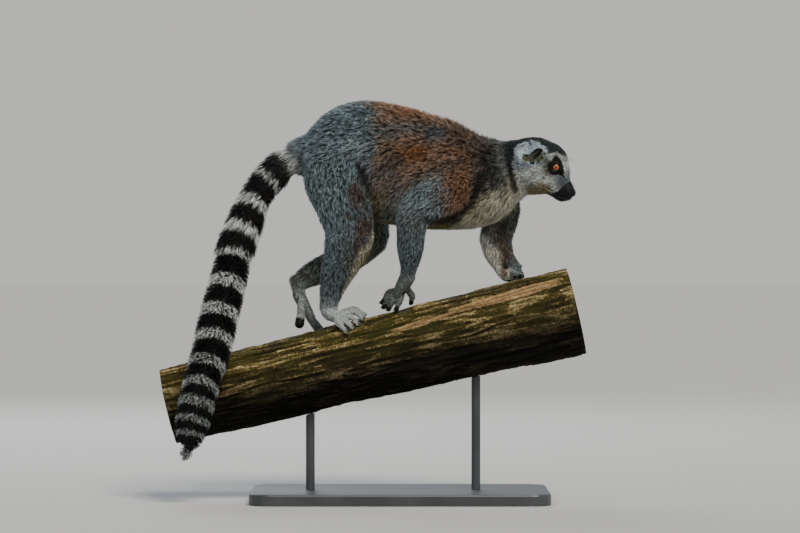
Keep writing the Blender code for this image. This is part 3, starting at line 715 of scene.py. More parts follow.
# Lines of the face, as mm ahead of and above the middle between the eyes.
MOUTH = ((27.0, -43.5), (20.0, -44.6), (10.0, -43.0), (2.0, -39.0), (-6.0, -33.5), (-12.5, -29.5))
BROW = ((-9.0, 12.0), (-1.0, 14.5), (7.0, 11.0), (11.0, 3.0))
TEAR_LINE = ((8.0, -4.0), (14.0, -14.0))
EAR_FOLD = ((-38.0, 24.0), (-29.0, 25.0), (-20.0, 29.0))
NOSTRIL = ((25.0, -35.5), (23.0, -34.2), (21.4, -36.0))
NOSE_PAD = ((17.5, -26.5), (22.0, -33.0), (24.0, -38.5))
EAR_TOP_DROP = 6.5  # mm by which the ear's upper edge is folded down
MUZZLE_BACK, JAW_DROP = 3.6, 4.0  # mm that the muzzle is set back and the jaw hangs fuller


def outward(left, normals):
    """How far each point of the head faces out to its own side."""
    return np.sign(left) * (normals @ FACE_LEFT)


def sculpt_head(skin):
    """Cuts the mouth, nostrils, ear hollow and the folds about the eyes into the skin."""
    mesh = skin.data
    points, normals = coordinates(mesh), normals_of(mesh)
    ahead, left, up = on_face(points)
    side = np.abs(left)
    head = (ahead > -70) & (up > -60) & (ahead < 40)
    push = np.zeros(len(points))
    face = head * (1 - smooth_step(side, 27, 31))
    beside = smooth_step(side, 4, 9)
    nostrils = smooth_step(side, 2.6, 3.8) * (1 - smooth_step(side, 8.0, 9.5))
    # Each fold: how far it stands out and lies below its line in mm, its half width, and where.
    for rise, below, path, radius, where in (
            (-1.1, 0, MOUTH, 1.7, 1), (0.6, 3.2, MOUTH, 3.2, 1),
            (0.5, 0, BROW, 6.0, smooth_step(side, 7, 15)), (-0.4, 0, TEAR_LINE, 3.4, beside),
            (0.8, 0, NOSE_PAD, 7.5, 1 - beside), (-1.6, 0, NOSTRIL, 2.0, nostrils)):
        push += rise * near_path(ahead, up + below, path, radius) * where * face
    push -= 0.55 * np.exp(-(side / 0.9) ** 2) * smooth_step(ahead, 17, 22) * (up < -33) * face
    outer = head * (side > 31) * smooth_step(outward(left, normals), 0.0, 0.35)
    push += 0.7 * near_path(ahead, up, EAR_FOLD, 4.5) * outer
    push = spread(push, edges_of(mesh), 2, 0.5)
    points = points + normals * push[:, None] / 1000
    on_ear = head & (side > 30)
    points[:, 2] -= EAR_TOP_DROP / 1000 * smooth_step(up, 14, 46) * on_ear
    hollow = within(*from_the_side(points), EAR_HOLLOW, 1.2) * outer
    points -= normals * (1.7 * spread(hollow, edges_of(mesh), 2, 0.5) / 1000)[:, None]
    shorter = MUZZLE_BACK * smooth_step(ahead, 0, 17) * smooth_step(-up, 4, 22) * head
    points -= np.outer(shorter / 1000, FACE_AHEAD)
    fuller = JAW_DROP * np.exp(-((ahead + 0.5) / 10.5) ** 2) * smooth_step(-up, 24, 37) * head
    points[:, 2] -= fuller / 1000
    move_points(mesh, points)


def ease_wrists(skin):
    """Evens out the step where each palm or sole leaves its furred limb."""
    points, edges = coordinates(skin.data), edges_of(skin.data)
    on_paw = of_kind("hand", "foot")[nearest_nodes(points)].astype(float)
    on_paw = spread(on_paw, edges, 14)
    move_points(skin.data, spread(points, edges, 16, 2.4 * on_paw * (1 - on_paw)))


def refine_face(skin):
    """Splits the faces of the muzzle and round the eyes once, so that folds can be cut there."""
    shape = bmesh.new()
    shape.from_mesh(skin.data)
    ahead, _, up = on_face(coordinates(skin.data))
    wanted = (ahead > -16) & (up > -52) & (up < 18)
    edges = [e for e in shape.edges if wanted[e.verts[0].index] and wanted[e.verts[1].index]]
    bmesh.ops.subdivide_edges(shape, edges=edges, cuts=1, smooth=0.3, use_grid_fill=True)
    bmesh.ops.triangulate(shape, faces=shape.faces)
    shape.to_mesh(skin.data)
    shape.free()


def thin_out(skin):
    """Spends the triangles where the skin shows: the face, ears, hands and feet stay fine."""
    fine = of_kind("hand", "foot", "ear", "head")[nearest_nodes(coordinates(skin.data))]
    group = skin.vertex_groups.new(name="coarse")
    group.add(np.nonzero(~fine)[0].tolist(), 1.0, "REPLACE")
    group.add(np.nonzero(fine)[0].tolist(), 0.12, "REPLACE")
    have = len(skin.data.polygons) * 2
    apply_modifier(skin, "DECIMATE", decimate_type="COLLAPSE", ratio=SKIN_TRIANGLES / have,
                   vertex_group="coarse", vertex_group_factor=1.0, use_collapse_triangulate=True)
    skin.vertex_groups.clear()


skin = grown_together()
draw_in(skin)
paws_and_lids(skin)
apply_modifier(skin, "REMESH", mode="VOXEL", voxel_size=FINE_VOXEL)
thin_out(skin)
ease_wrists(skin)
refine_face(skin)
open_lids(skin)
sculpt_head(skin)
skin.data.shade_smooth()


# ---------------------------------------------------------------------------
# The lie of the coat and its markings, which skin and coat share. Hair runs back from the
# nose, down the neck and flanks, along each limb to its digits and down the tail; each
# marking is a patch, line or band placed on the body as on the animal.

ROUNDS_OF_LIE = BLEND_ROUNDS = 14  # how often the lie, and what part a point is of, are evened out
TAIL_FALL, TAIL_SLICES = (-0.42, -0.12, -0.9), 25
# The way the hair runs on the back, on top of the neck, on its sides and on the chest.
BACK_LIE, NAPE_LIE = (-1, 0, -0.28), (-1, 0, -0.1)
NECK_LIE, CHEST_LIE = (-0.32, 0, -1), (-0.36, 0, -1)


def meeting(node, other):
    """The middle of the cut face where one solid meets another."""
    points = coordinates(cad[node].data)
    wall, _ = surface_of([other])
    near = [p for p in points if wall.find_nearest(Vector(p), 0.0025)[0] is not None]
    return np.mean(near, axis=0)


def limb_lies():
    """For each limb node, the way its hair runs: from where it starts to where it ends."""
    lies = {}
    for side in EYES:
        chains = (("trunk", "upper_arm", "forearm", "hand"), ("trunk", "thigh", "shank", "foot"))
        for chain in chains:
            names = [chain[0]] + [f"{part}_{side}" for part in chain[1:]]
            joints = [meeting(b, a) for a, b in zip(names, names[1:])]
            last = coordinates(cad[names[-1]].data).mean(0)
            for name, start, end in zip(names[1:], joints, joints[1:] + [last]):
                lies[name] = (end - start) / np.linalg.norm(end - start)
    return lies


def tail_line(points):
    """The tail's middle line, from slices of its skin across the way it hangs."""
    fall = points @ np.array(TAIL_FALL)
    line = None
    for _ in range(3):
        edges = np.linspace(fall.min(), fall.max(), TAIL_SLICES + 1)
        slices = [points[(fall >= low) & (fall <= high)] for low, high in zip(edges, edges[1:])]
        line = np.array([s.mean(0) for s in slices if len(s) > 3])
        line[1:-1] = (line[:-2] + 2 * line[1:-1] + line[2:]) / 4
        fall = along_line(points, line)[0]
    return line


def along_line(points, line):
    """How far along a line each point lies, in the line's units, and the line's way there."""
    best = np.full(len(points), 1e9)
    place, way = np.zeros(len(points)), np.zeros((len(points), 3))
    steps = np.linalg.norm(np.diff(line, axis=0), axis=1)
    starts = np.concatenate(([0], np.cumsum(steps)))
    for index, (a, b) in enumerate(zip(line, line[1:])):
        leg = (b - a) / steps[index]
        share = (points - a) @ leg
        low = -1 if index == 0 else 0
        high = steps[index] + (1 if index == len(steps) - 1 else 0)
        share = np.clip(share, low, high)
        gap = np.linalg.norm(points - a - np.outer(share, leg), axis=1)
        nearer = gap < best
        best[nearer] = gap[nearer]
        place[nearer] = starts[index] + share[nearer]
        way[nearer] = leg
    return place, way


def set_across(vectors, normals):
    """Turns vectors into the surface and makes them one long."""
    flat = vectors - normals * np.sum(vectors * normals, axis=1)[:, None]
    return unit(flat)


# From the side, in mm: the low flank before the thigh, and behind the elbow, where the pale belly hair
# is painted darker as shade.
LOW_FLANK = ((-52, 458), (-26, 441), (10, 426), (14, 390), (-52, 390))
ARMPIT = ((44, 400), (60, 411), (88, 417), (112, 428), (114, 382), (44, 382))
# The near leg's front edge.
SHIN = ((-36, 398), (-39, 386), (-46, 374), (-54, 361), (-60, 349), (-67, 332), (-74, 315),
        (-80, 302))
# Where the dark neck meets the pale chest, and the blackest of the neck above it, partly painted
# shade.
COLLAR = ((60, 388), (96, 421), (109, 434), (120, 444), (130, 452), (142, 459), (157, 467),
          (168, 478))
BLACK_COLLAR = ((100, 432), (109, 447), (124, 463), (142, 475), (160, 487))


def below_collar(points):
    """How far in mm each point lies below the collar."""
    x, _, z = (points * 1000).T
    return np.interp(x, *zip(*COLLAR)) - z


def lie_of_coat(points, normals, owners, edges):
    """The way the hair runs at each point of the skin, in its surface."""
    ways = np.tile(np.array(BACK_LIE, float), (len(points), 1))
    limb = limb_lies()
    for index, name in enumerate(FLESH):
        here = owners == index
        kind = kind_of(name)
        if name in limb:
            ways[here] = limb[name]
        elif kind == "tail":
            ways[here] = along_line(points[here], TAIL_LINE)[1]
        elif kind == "neck":
            high = smooth_step(normals[here, 2], 0.1, 0.9)[:, None]
            ways[here] = high * NAPE_LIE + (1 - high) * NECK_LIE
        elif kind == "head":
            ahead, left, up = on_face(points[here])
            back = -FACE_AHEAD + 0.35 * np.outer(np.sign(left), FACE_LEFT)
            down = smooth_step(-ahead, 8, 50)[:, None] * smooth_step(-up, -20, 10)[:, None]
            ways[here] = back + down * np.array((0, 0, -1.1))
        elif kind == "ear":
            ways[here] = points[here] - middle_of(name)
            ways[here, 2] += 0.006
    fore = smooth_step(points[:, 0], 0.055, 0.1) * smooth_step(below_collar(points), -12, 12)
    fore = (fore * of_kind("trunk", "neck")[owners])[:, None]
    ways = ways * (1 - fore) + fore * CHEST_LIE
    ways = set_across(ways, normals)
    for _ in range(ROUNDS_OF_LIE):
        ways = set_across(spread(ways, edges, 2, 0.7), normals)
    return ways


def colour(hex_colour):
    return np.array(linear(hex_colour)[:3])


def paint(under, over, share):
    """Lays one colour over others by a share for each point."""
    return under + (over - under) * np.asarray(share)[:, None]


def unevenness(points, size, seed):
    """A smooth unevenness from about -1 to 1, size mm across, the same for skin and coat."""
    random = np.random.default_rng(seed)
    total = np.zeros(len(points))
    for _ in range(6):
        way = random.normal(size=3)
        way *= math.tau * random.uniform(0.7, 1.4) / (size / 1000 * np.linalg.norm(way))
        total += np.sin(points @ way + random.uniform(0, math.tau))
    return total / 2.6


# Tip and root colours of each kind of hair.
HAIR = {
    "grey": ("#9fb6bd", "#0b0f10"),
    "dark_grey": ("#6a7b81", "#0a0d0e"),
    "brown": ("#b29079", "#110a06"),
    "rufous": ("#a3754c", "#1d0e05"),
    "orange": ("#9a602a", "#1e0e03"),
    "flank": ("#84725a", "#0b0805"),
    "withers": ("#665c52", "#0b0907"),
    "charcoal": ("#1f1e1c", "#030303"),
    "cream": ("#f3efcc", "#332f1e"),
    # the belly's cream darkened and tinted olive: painted shade with greenish bounced light
    "belly": ("#969258", "#26240f"),
    "white": ("#e6ebea", "#7f8684"),
    "ear": ("#d9eaf4", "#7a8a92"),
    "foot": ("#f4fdfd", "#555d5d"),
    "hand": ("#aab4ae", "#101312"),
    "cap": ("#3b4447", "#090c0c"),
    "muzzle": ("#7f8c94", "#262c30"),
    "black": ("#090807", "#020202"),
    "tail_white": ("#f0f4f1", "#565b59"),
    "tail_grey": ("#b4bab8", "#3c403f"),
    "tail_low": ("#929c9a", "#1b1e1d"),
    # painted highlight on the hip
    "hip_highlight": ("#c6dae3", "#1b2225"),
    "inner_arm": ("#fffdf2", "#c2c0b2"),
    "throat": ("#8f7a3c", "#2a200d"),
    "olive": ("#646a50", "#23261b"),
    "russet": ("#704428", "#130804"),
    "haze": ("#5d5a42", "#1c1b10"),
}
BARE = {"nose": "#0c0e10", "lid": "#0b0b09", "sole": "#100f0d", "ear_hollow": "#070605",
        "ear_fold": "#4c493c"}

# The tail's dark rings: the middle of each and half its width, in mm from the tail's root.
RINGS = ((1, 4), (33, 12.5), (70, 14.5), (114, 14), (159, 14.5), (205, 14.5), (251, 13), (293, 11.5),
         (333, 12.5), (369, 9.5), (397, 6.5), (421, 6.5), (442, 6.5), (467, 13))
TAIL_OVERLAP = 11.0  # mm by which hair covers what lies beyond its root
RING_EDGE = 1.6  # mm over which a ring fades, to either side of its edge
RING_LEAN = 8.0  # mm that the rings sit nearer the root on the tail's right side than on its left

CAP_EDGE = ((-70, 8.0), (-40, 11.0), (-22, 14.0), (-12, 17.7), (0, 20.6), (7, 17.0), (12.6, 11.9),
            (15.2, 7.1), (17, -4.0))
LIP_TOP = ((-17.5, -31.8), (-9.6, -36.3), (-3.5, -38.2), (1.0, -35.6), (8.0, -30.3), (14.0, -23.5),
           (30.0, -13.0))
LIP_LOW = ((-17.5, -33.5), (-12.2, -38.5), (-6.3, -45.0), (5.6, -54.0), (30.0, -64.0))
EYE_PATCH = ((226.8, 499.0), (222.6, 498.6), (219.0, 491.8), (213.6, 487.5), (212.6, 480.6),
             (214.9, 473.6), (221.2, 469.8), (228.5, 470.8), (233.0, 469.4), (237.9, 465.4),
             (236.8, 473.6), (235.6, 481.7), (232.9, 489.9), (228.8, 495.4))

PATCH_HAZE = ((213.0, 489.0), (210.5, 480.0), (214.0, 471.5))  # at the patch's rear edge


def face_masks(points):
    """Where the cap, eye patches, haze, muzzle, black lips, throat tint and whisker spot lie."""
    ahead, left, up = on_face(points)
    side = np.abs(left)
    rough = unevenness(points, 7, 11)
    cap = smooth_step(up - np.interp(ahead, *zip(*CAP_EDGE)) + 0.9 * rough, -1.6, 1.6)
    x, z = from_the_side(points)
    patch = within(x + 0.3 * rough, z, EYE_PATCH, 1.1) * smooth_step(side, 5.5, 8.5)
    haze = near_path(x, z, PATCH_HAZE, 7.0) * (side > 8)
    muzzle = smooth_step(ahead + 0.35 * (up + 20), -12, 8) * smooth_step(-up, 5, 19)
    muzzle = np.maximum(muzzle, 0.7 * smooth_step(ahead, 8, 16) * smooth_step(-up, -4, 12))
    black = smooth_step(np.interp(ahead, *zip(*LIP_TOP)) - up + 0.4 * rough, -0.8, 0.8)
    black *= smooth_step(up - np.interp(ahead, *zip(*LIP_LOW)), -0.8, 0.8) * (ahead > -17.5)
    throat = smooth_step(-up, 18, 31) * smooth_step(-ahead, -2, 12) * (1 - smooth_step(-ahead, 36, 52))
    whisker_spot = near_path(x, z, ((209.2, 466.0), (209.6, 464.6)), 2.9) * (side > 10)
    return cap, patch, haze, muzzle, black, throat, whisker_spot


def markings(points, normals, weights, tail_place):
    """Tip colour, root colour and bareness of the coat at each point of the skin."""
    part = {kind: share_of(weights, kind) for kind in COAT}
    x, y, z = (points * 1000).T
    tips, roots = (np.tile(colour(HAIR["grey"][i]), (len(points), 1)) for i in (0, 1))
    rough = unevenness(points, 30, 3)
    fine = unevenness(points, 10, 5)
    blotch = unevenness(points, 17, 9)

    def lay(hair, share):
        nonlocal tips, roots
        share = np.clip(share, 0, 1)
        tips = paint(tips, colour(HAIR[hair][0]), share)
        roots = paint(roots, colour(HAIR[hair][1]), share)

    def spot(middle_x, middle_z, half_x, half_z):
        away = np.hypot((x - middle_x) / half_x, (z - middle_z) / half_z)
        return 1 - smooth_step(away + 0.14 * fine + 0.1 * rough, 0.35, 1.3)

    def line(path, radius, waver=2):
        return near_path(x + waver * fine, z, path, radius)

    trunk, arm, thigh, shank = (part[kind] for kind in ("trunk", "upper_arm", "thigh", "shank"))
    forearm, hand, foot, tail = (part[kind] for kind in ("forearm", "hand", "foot", "tail"))
    head, ear, neck_part = part["head"], part["ear"], part["neck"]
    back_edge = np.interp(z, (400, 470, 515, 540, 580), (-46, -38, -33, -27, -37))
    brown = smooth_step(x - back_edge + 9 * rough + 6 * fine, -18, 18) * (trunk + arm)
    lay("dark_grey", 0.22 * (1 + fine) * (trunk + thigh))
    lay("brown", brown)
    lay("dark_grey", trunk * (0.7 * spot(0, 534, 62, 13) + 0.6 * spot(56, 527, 22, 14)))
    lay("flank", trunk * 0.9 * spot(-12, 482, 24, 44))
    lay("flank", brown * trunk * 0.8 * smooth_step(470 - z + 10 * fine, 0, 40))
    lay("dark_grey", trunk * (0.35 * spot(-14, 470, 18, 26) * (1 + blotch)))
    lay("rufous", trunk * (0.5 * spot(22, 560, 34, 13) + 0.5 * spot(28, 470, 26, 30)))
    lay("orange", trunk * 0.85 * spot(27, 503, 24, 15))
    lay("withers", trunk * 0.85 * smooth_step(x + 9 * rough, 62, 100))
    lay("rufous", 0.3 * trunk * spot(92, 500, 26, 30) * (1 + blotch))
    lay("grey", arm * smooth_step(66 - x + 7 * fine + 6 * rough, -12, 22))
    lay("rufous", 0.7 * (arm + 0.6 * trunk) * spot(87, 458, 22, 26))
    lay("flank", 0.45 * arm * spot(60, 440, 18, 16))
    lay("russet", thigh * (0.7 * spot(-64, 446, 12, 25) + 0.6 * spot(-50, 396, 18, 26)))
    lay("withers", thigh * 0.3 * spot(-70, 420, 24, 30) * (1 + blotch))
    # Painted shadow: a darker line on the flank along the near upper arm's rear edge.
    shadow_behind_arm = line(((0, 438), (27, 464), (54, 481), (78, 487)), 9)
    lay("withers", 0.6 * trunk * shadow_behind_arm * (y < 0))
    # Painted shadow in the fold between the thigh and the belly.
    groin_shadow = line(((-53, 482), (-46, 462), (-39, 440), (-35, 415)), 13)
    lay("charcoal", (thigh + trunk) * 0.9 * groin_shadow)
    # Painted highlight: a paler blue-grey patch high on the hip.
    lay("hip_highlight", 0.75 * (thigh + trunk) * spot(-61, 511, 22, 13))
    lay("dark_grey", (0.42 + 0.2 * fine) * (forearm + shank))
    lay("flank", 0.4 * shank * spot(-70, 350, 16, 60))

    locks = unevenness(points * np.array((3.4, 1.0, 0.5)), 26, 8)
    neck = np.clip(neck_part + trunk * smooth_step(x + 8 * rough, 104, 138), 0, 1)
    lay("withers", neck * 0.8)
    mane = smooth_step(522 - z + 6 * fine, -6, 30) * smooth_step(x + 7 * rough, 100, 132)
    lay("charcoal", neck * mane)
    below = below_collar(points)
    # The neck's own dark fur, deepened to black as painted shade in the crease between shoulder, neck
    # and chest.
    collar = smooth_step(x + 5 * fine, 96, 110) * smooth_step(40 + below, 0, 20)
    lay("charcoal", 0.95 * (trunk + neck) * collar)
    lay("black", 0.9 * (trunk + neck) * line(BLACK_COLLAR, 20))
    chest = smooth_step(below + 9 * locks, -5, 5) * np.clip(neck + trunk * (x > 60), 0, 1)
    lay("cream", chest)
    # Painted shade: the chest darker olive lower down.
    lay("belly", chest * smooth_step(below + 5 * locks, 34, 64) * 0.7)
    lay("charcoal", 0.95 * chest * smooth_step(locks, 0.4, 0.62) * (1 - smooth_step(below, 12, 26)))
    belly = smooth_step(-normals[:, 2] + 0.2 * rough, 0.15, 0.7) * smooth_step(470 - z, 0, 40)
    belly = np.maximum(belly, 0.85 * within(x + 3 * fine, z + 3 * rough, LOW_FLANK, 7))
    belly = np.maximum(belly, 0.85 * within(x + 3 * fine, z + 2 * rough, ARMPIT, 6))
    # The belly, low flank and behind the elbow in the darker olive: painted shade.
    lay("belly", belly * trunk * (1 - chest))
    # Painted shade: a charcoal line along the underside of the near arm, where it meets the body.
    elbow = near_path(x, z + 1.5 * fine, ((34, 408), (62, 410), (90, 416), (105, 432), (112, 452)), 8)
    lay("charcoal", 0.85 * (arm + trunk) * elbow * (y < 0))

    inward = normals[:, 1] * np.where(y < -8, 1, np.where(y > 8, -1, 0))
    inner = smooth_step(inward + 0.1 * fine, 0.2, 0.75)
    # The legs' inner sides: their pale hair painted darker olive as shade.
    lay("belly", 0.5 * inner * thigh)
    lay("belly", inner * (0.5 * shank))
    # Painted shade: the far upper arm, under the chest, darkened to charcoal and dark grey.
    lay("charcoal", 0.75 * smooth_step(y, 4, 12) * (arm * smooth_step(z + 6 * fine, 396, 412)))
    lay("dark_grey", 0.6 * smooth_step(y, 4, 12) * arm)
    far_arm = np.clip(forearm + hand + arm * (z < 386), 0, 1)
    far_arm = far_arm * (y > 4) * smooth_step(inward, -0.6, -0.1)
    far_front = np.clip(forearm + arm * (z < 390), 0, 1) * (y > 4)
    lay("flank", 0.75 * far_front * line(((146, 378), (158, 350), (167, 328)), 17))
    lay("russet", 0.4 * far_arm * line(((143, 370), (152, 350)), 8))
    inside = arm * (y > 4) * smooth_step(inward, -0.3, 0.2)
    lay("olive", 0.6 * inside * line(((124, 398), (138, 388), (140, 380)), 14))
    lay("cream", 0.45 * inside * line(((132, 397), (136, 384)), 8))
    lay("black", 0.7 * inside * line(((150, 412), (146, 388)), 9))
    lay("inner_arm", far_arm * line(((117, 376), (126, 357), (138, 339), (148, 320)), 22, 1))
    lay("cream", 0.4 * far_arm * line(((134, 364), (148, 342)), 8, 1))
    lay("rufous", 0.9 * far_arm * line(((149.5, 352), (149.5, 336), (152.5, 327)), 5.5, 0))
    gland = far_arm * line(((153.2, 344), (153.8, 339)), 6.5, 0)
    lay("black", gland)
    leg = (shank + thigh) * (y < 0)
    ahead_of_shin = x - np.interp(z, *zip(*((high, along) for along, high in reversed(SHIN))))
    # Painted shade: the near shin darker olive ahead of its pale fringe.
    lay("belly", 0.85 * leg * smooth_step(ahead_of_shin, 1, 7) * (z < 400))
    lay("cream", 0.9 * leg * line(SHIN, 6.5, 0))
    lay("russet", 0.6 * leg * line(((-53, 404), (-56, 388), (-62, 366)), 11, 3))
    lay("hand", hand * (1 - 0.85 * (y > 4)) + 0.45 * shank * (y > 8) * (z < 352))
    lay("foot", foot)
    # Painted shade: the far foot darker grey than the near one.
    lay("dark_grey", (0.35 + 0.2 * fine) * foot * smooth_step(-x, 110, 118))
    lay("dark_grey", 0.45 * (hand + 0.3 * foot) * smooth_step(blotch + fine, 0.2, 1.2))

    seen = tail_place * 1000 + TAIL_OVERLAP - RING_LEAN * normals[:, 1]
    dark = np.zeros(len(points))
    for middle, half in RINGS:
        off = np.abs(seen - middle + 0.9 * fine)
        dark = np.maximum(dark, 1 - smooth_step(off, half - RING_EDGE, half + RING_EDGE))
    lay("tail_white", tail * smooth_step(seen, -14, -6))
    # The white rings greyer near the root and from about half way down the tail.
    greyer_whites = 0.6 * (1 - smooth_step(seen, 50, 100)) + 0.5 * smooth_step(seen, 230, 330)
    lay("tail_grey", tail * greyer_whites)
    lay("tail_low", tail * 0.85 * smooth_step(seen, 310, 420))
    lay("black", dark * tail)

    cap, patch, haze, muzzle, black, throat, whiskers = face_masks(points)
    ahead, left, up = on_face(points)
    lay("white", head)
    lay("tail_grey", 0.4 * head * smooth_step(fine + 0.6 * blotch, -0.2, 1) * smooth_step(-up, -4, 10))
    side_x, side_z = from_the_side(points)

    def face_line(path, radius, waver=0):
        return near_path(side_x + waver * fine, side_z, path, radius)

    nape = np.interp(side_z, (440, 450, 462, 476, 490, 502, 512), (168, 170, 169, 166, 163, 166, 168))
    behind = smooth_step(nape - side_x + 1.5 * fine, -2.5, 2.5)
    lay("white", neck_part * (1 - behind) * smooth_step(side_z, 462, 476))
    lay("charcoal", head * behind * smooth_step(side_z, 440, 462))
    lay("cream", head * smooth_step(-ahead, 40, 62) * smooth_step(480 - z, 0, 18))
    streaks = np.maximum(face_line(((157.5, 500), (161.6, 480), (167.5, 451)), 5.0, 1),
                         face_line(((152, 472), (157.5, 445)), 3.6, 1))
    lay("black", 0.95 * (head + neck_part) * streaks)
    lay("throat", 0.85 * head * throat)
    lay("tail_grey", 0.5 * head * smooth_step(up, 4, 9) * smooth_step(ahead, -16, -8))
    lay("muzzle", head * muzzle)
    lay("haze", 0.85 * head * haze)
    lay("cap", head * cap)
    far_out = smooth_step(np.abs(left), 17, 24)
    white_ear = within(side_x + 0.5 * fine, side_z, WHITE_OF_EAR, 1.0)
    lay("ear", head * far_out * white_ear)
    lay("charcoal", 0.7 * head * far_out * face_line(EAR_FRONT, 2.6))
    lay("black", head * np.maximum(patch, 0.8 * whiskers))
    lay("black", head * black)
    outer = ear * smooth_step(outward(left, normals), -0.25, 0.1)
    lay("ear", ear)
    lay("cap", 0.85 * ear * (1 - outer) * smooth_step(up, 8, 22))
    lay("cap", 0.95 * outer * (1 - white_ear) * smooth_step(side_z, 499, 504))
    olive = np.maximum(face_line(((179.5, 495.5), (183.0, 492.5)), 6.0),
                       face_line(((199.0, 493.5), (204.0, 498.0)), 7.0))
    lay("olive", (outer + head * far_out) * olive)
    hollow = within(side_x, side_z, EAR_HOLLOW, 1.6)
    lay("black", (outer + head * far_out) * smooth_step(hollow, 0.3, 0.6))

    bare = head * np.maximum(black, 0)
    furred = 1 - 0.15 * (hand + foot) - 0.6 * ear
    skin_colour = paint(tips, roots, 0.88 * furred)
    skin_colour = paint(skin_colour, colour(BARE["nose"]), head * black)
    for side in EYES:
        gap = np.linalg.norm(points - (EYES[side] + gaze(side) * 0.004), axis=1) * 1000
        lid = 1 - smooth_step(gap, 7.6, 9.2)
        skin_colour = paint(skin_colour, colour(BARE["lid"]), lid)
        bare = np.maximum(bare, lid)
    outer = np.clip(outer + head * far_out, 0, 1)
    facing = smooth_step(outward(left, normals), -0.8, -0.3)
    outer = np.maximum(outer, np.clip(head + ear, 0, 1) * smooth_step(np.abs(left), 12, 18) * facing)
    skin_colour = paint(skin_colour, colour(BARE["ear_hollow"]), outer * smooth_step(hollow, 0, 0.5))
    fold = face_line(HOLLOW_FOLD, 1.5)
    skin_colour = paint(skin_colour, colour(BARE["ear_fold"]), 0.8 * outer * fold * hollow)
    bare = np.maximum(bare, outer * smooth_step(hollow, 0.45, 0.8))

    toward = -(normals @ PERCH_UP) * 0.7 - normals[:, 2] * 0.3
    paws = hand + foot
    sole = paws * smooth_step(toward, 0.62, 0.85)
    rear_sole = foot * smooth_step(y, 10, 16) * smooth_step(-normals[:, 0], 0.5, 0.75)
    sole = np.maximum(sole, rear_sole * (z < 306))
    for name, tip, way, radius in TIPS:
        gap = np.linalg.norm(points * 1000 - tip, axis=1)
        reach = (2.4, 4.2) if name.startswith("hand") else (-2.0, 0.5)
        if radius == PADDED[2]:
            reach = (2.5, 5.5)
        sole = np.maximum(sole, 1 - smooth_step(gap - radius, *reach))
    sole = np.maximum(sole, smooth_step(gland, 0.3, 0.6))
    skin_colour = paint(skin_colour, colour(BARE["sole"]), sole)
    bare = np.maximum(bare, sole)
    return tips, roots, skin_colour, bare


def hide():
    """Prepared hide: matt between the hairs, and finely pebbled and slightly moist where bare."""
    finish = Finish("hide_and_bare_skin")
    place = finish.place()
    mottle = finish.ranged(finish.grain(place, 2.2, 4), 0.3, 0.7, 0.62, 1.15)
    pebble = finish.add("TexVoronoi", {"Vector": place, "Scale": 1000 / 0.8}).outputs["Distance"]
    return finish.material({"Base Color": finish.scaled(finish.stored("marking", "Color"), mottle),
                            "Roughness": finish.ranged(finish.stored("bare"), 0.0, 1.0, 0.8, 0.46),
                            "IOR": 1.4, "Specular IOR Level": 0.25,
                            "Subsurface Weight": 0.05, "Subsurface Scale": 0.002,
                            "Normal": finish.bump(pebble, 0.16, 0.0003)})


def unwrap(obj):
    """Lays the skin's own surface out flat, cut where it turns."""
    bpy.ops.object.select_all(action="DESELECT")
    obj.select_set(True)
    bpy.context.view_layer.objects.active = obj
    bpy.ops.object.mode_set(mode="EDIT")
    bpy.ops.mesh.select_all(action="SELECT")
    bpy.ops.uv.smart_project(angle_limit=math.radians(66), island_margin=0.001)
    bpy.ops.object.mode_set(mode="OBJECT")
    obj.select_set(False)
    obj.data.uv_layers.active.name = "OFBake"


hide_points = coordinates(skin.data)
hide_normals = normals_of(skin.data)
hide_edges = edges_of(skin.data)
hide_owners = nearest_nodes(hide_points)
TAIL_LINE = tail_line(hide_points[of_kind("tail")[hide_owners]])
hide_weights = spread(np.eye(len(FLESH))[hide_owners], hide_edges, BLEND_ROUNDS)
hide_ways = lie_of_coat(hide_points, hide_normals, hide_owners, hide_edges)
hide_places = along_line(hide_points, TAIL_LINE)[0]
_, _, hide_colours, hide_bare = markings(hide_points, hide_normals, hide_weights, hide_places)
new_attribute(skin.data, "marking", hide_colours)
new_attribute(skin.data, "bare", hide_bare)
skin.data.materials.append(hide())
unwrap(skin)
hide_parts(*FLESH)
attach(skin, "root")


# ---------------------------------------------------------------------------
# Coat: tufts of hair rooted all over the skin, each a thin three-sided lock that rises, bends
# over along the lie of the coat and tapers to its tip, dark at the root and paler at the tip.
# They are gathered in clumps, longest on tail, chest and flanks and shortest on face and feet.

RANDOM = np.random.default_rng(7)
RISE_BEND = 1.7  # how soon a tuft lies over
LOCK_PULL = 0.55  # how far the tips of a lock draw together
LOCK_WANDER, TUFT_WANDER = 0.28, 0.16  # radians that locks and tufts stray from the lie
LOCK_SHADE, TUFT_SHADE = 0.27, 0.4  # how unevenly light and dark locks and tufts are
# Painted shade: tufts are darkened towards a lock's edge, deep between it and the next.
LOCK_GAP_SHADE = 0.9  # how much darker the tufts are at a lock's edge, deep between it and the next
# How much longer the tufts are on the chest, and shorter in the ear's hollow, at the heels, round
# the eyes, on the muzzle and at the tail's tip, as shares of their length.
LONG_CHEST, SHORT_HOLLOW, SHORT_HEEL = 0.45, 0.65, 0.5
SHORT_EYES, SHORT_MUZZLE, SHORT_TIP = 0.5, 0.35, 0.62
LEAST_DEPTH = 1.3  # mm that every tuft rises over the skin
TAPER = (0.75, 1.0, 0.8, 0.5)  # a tuft's width at each quarter of its length
CORNERS = ((-1, -0.25), (1, -0.25), (0, 0.75))  # of a tuft's section, aside and outwards
PATCH = 0.003  # the side of each tuft's patch on the unwrap


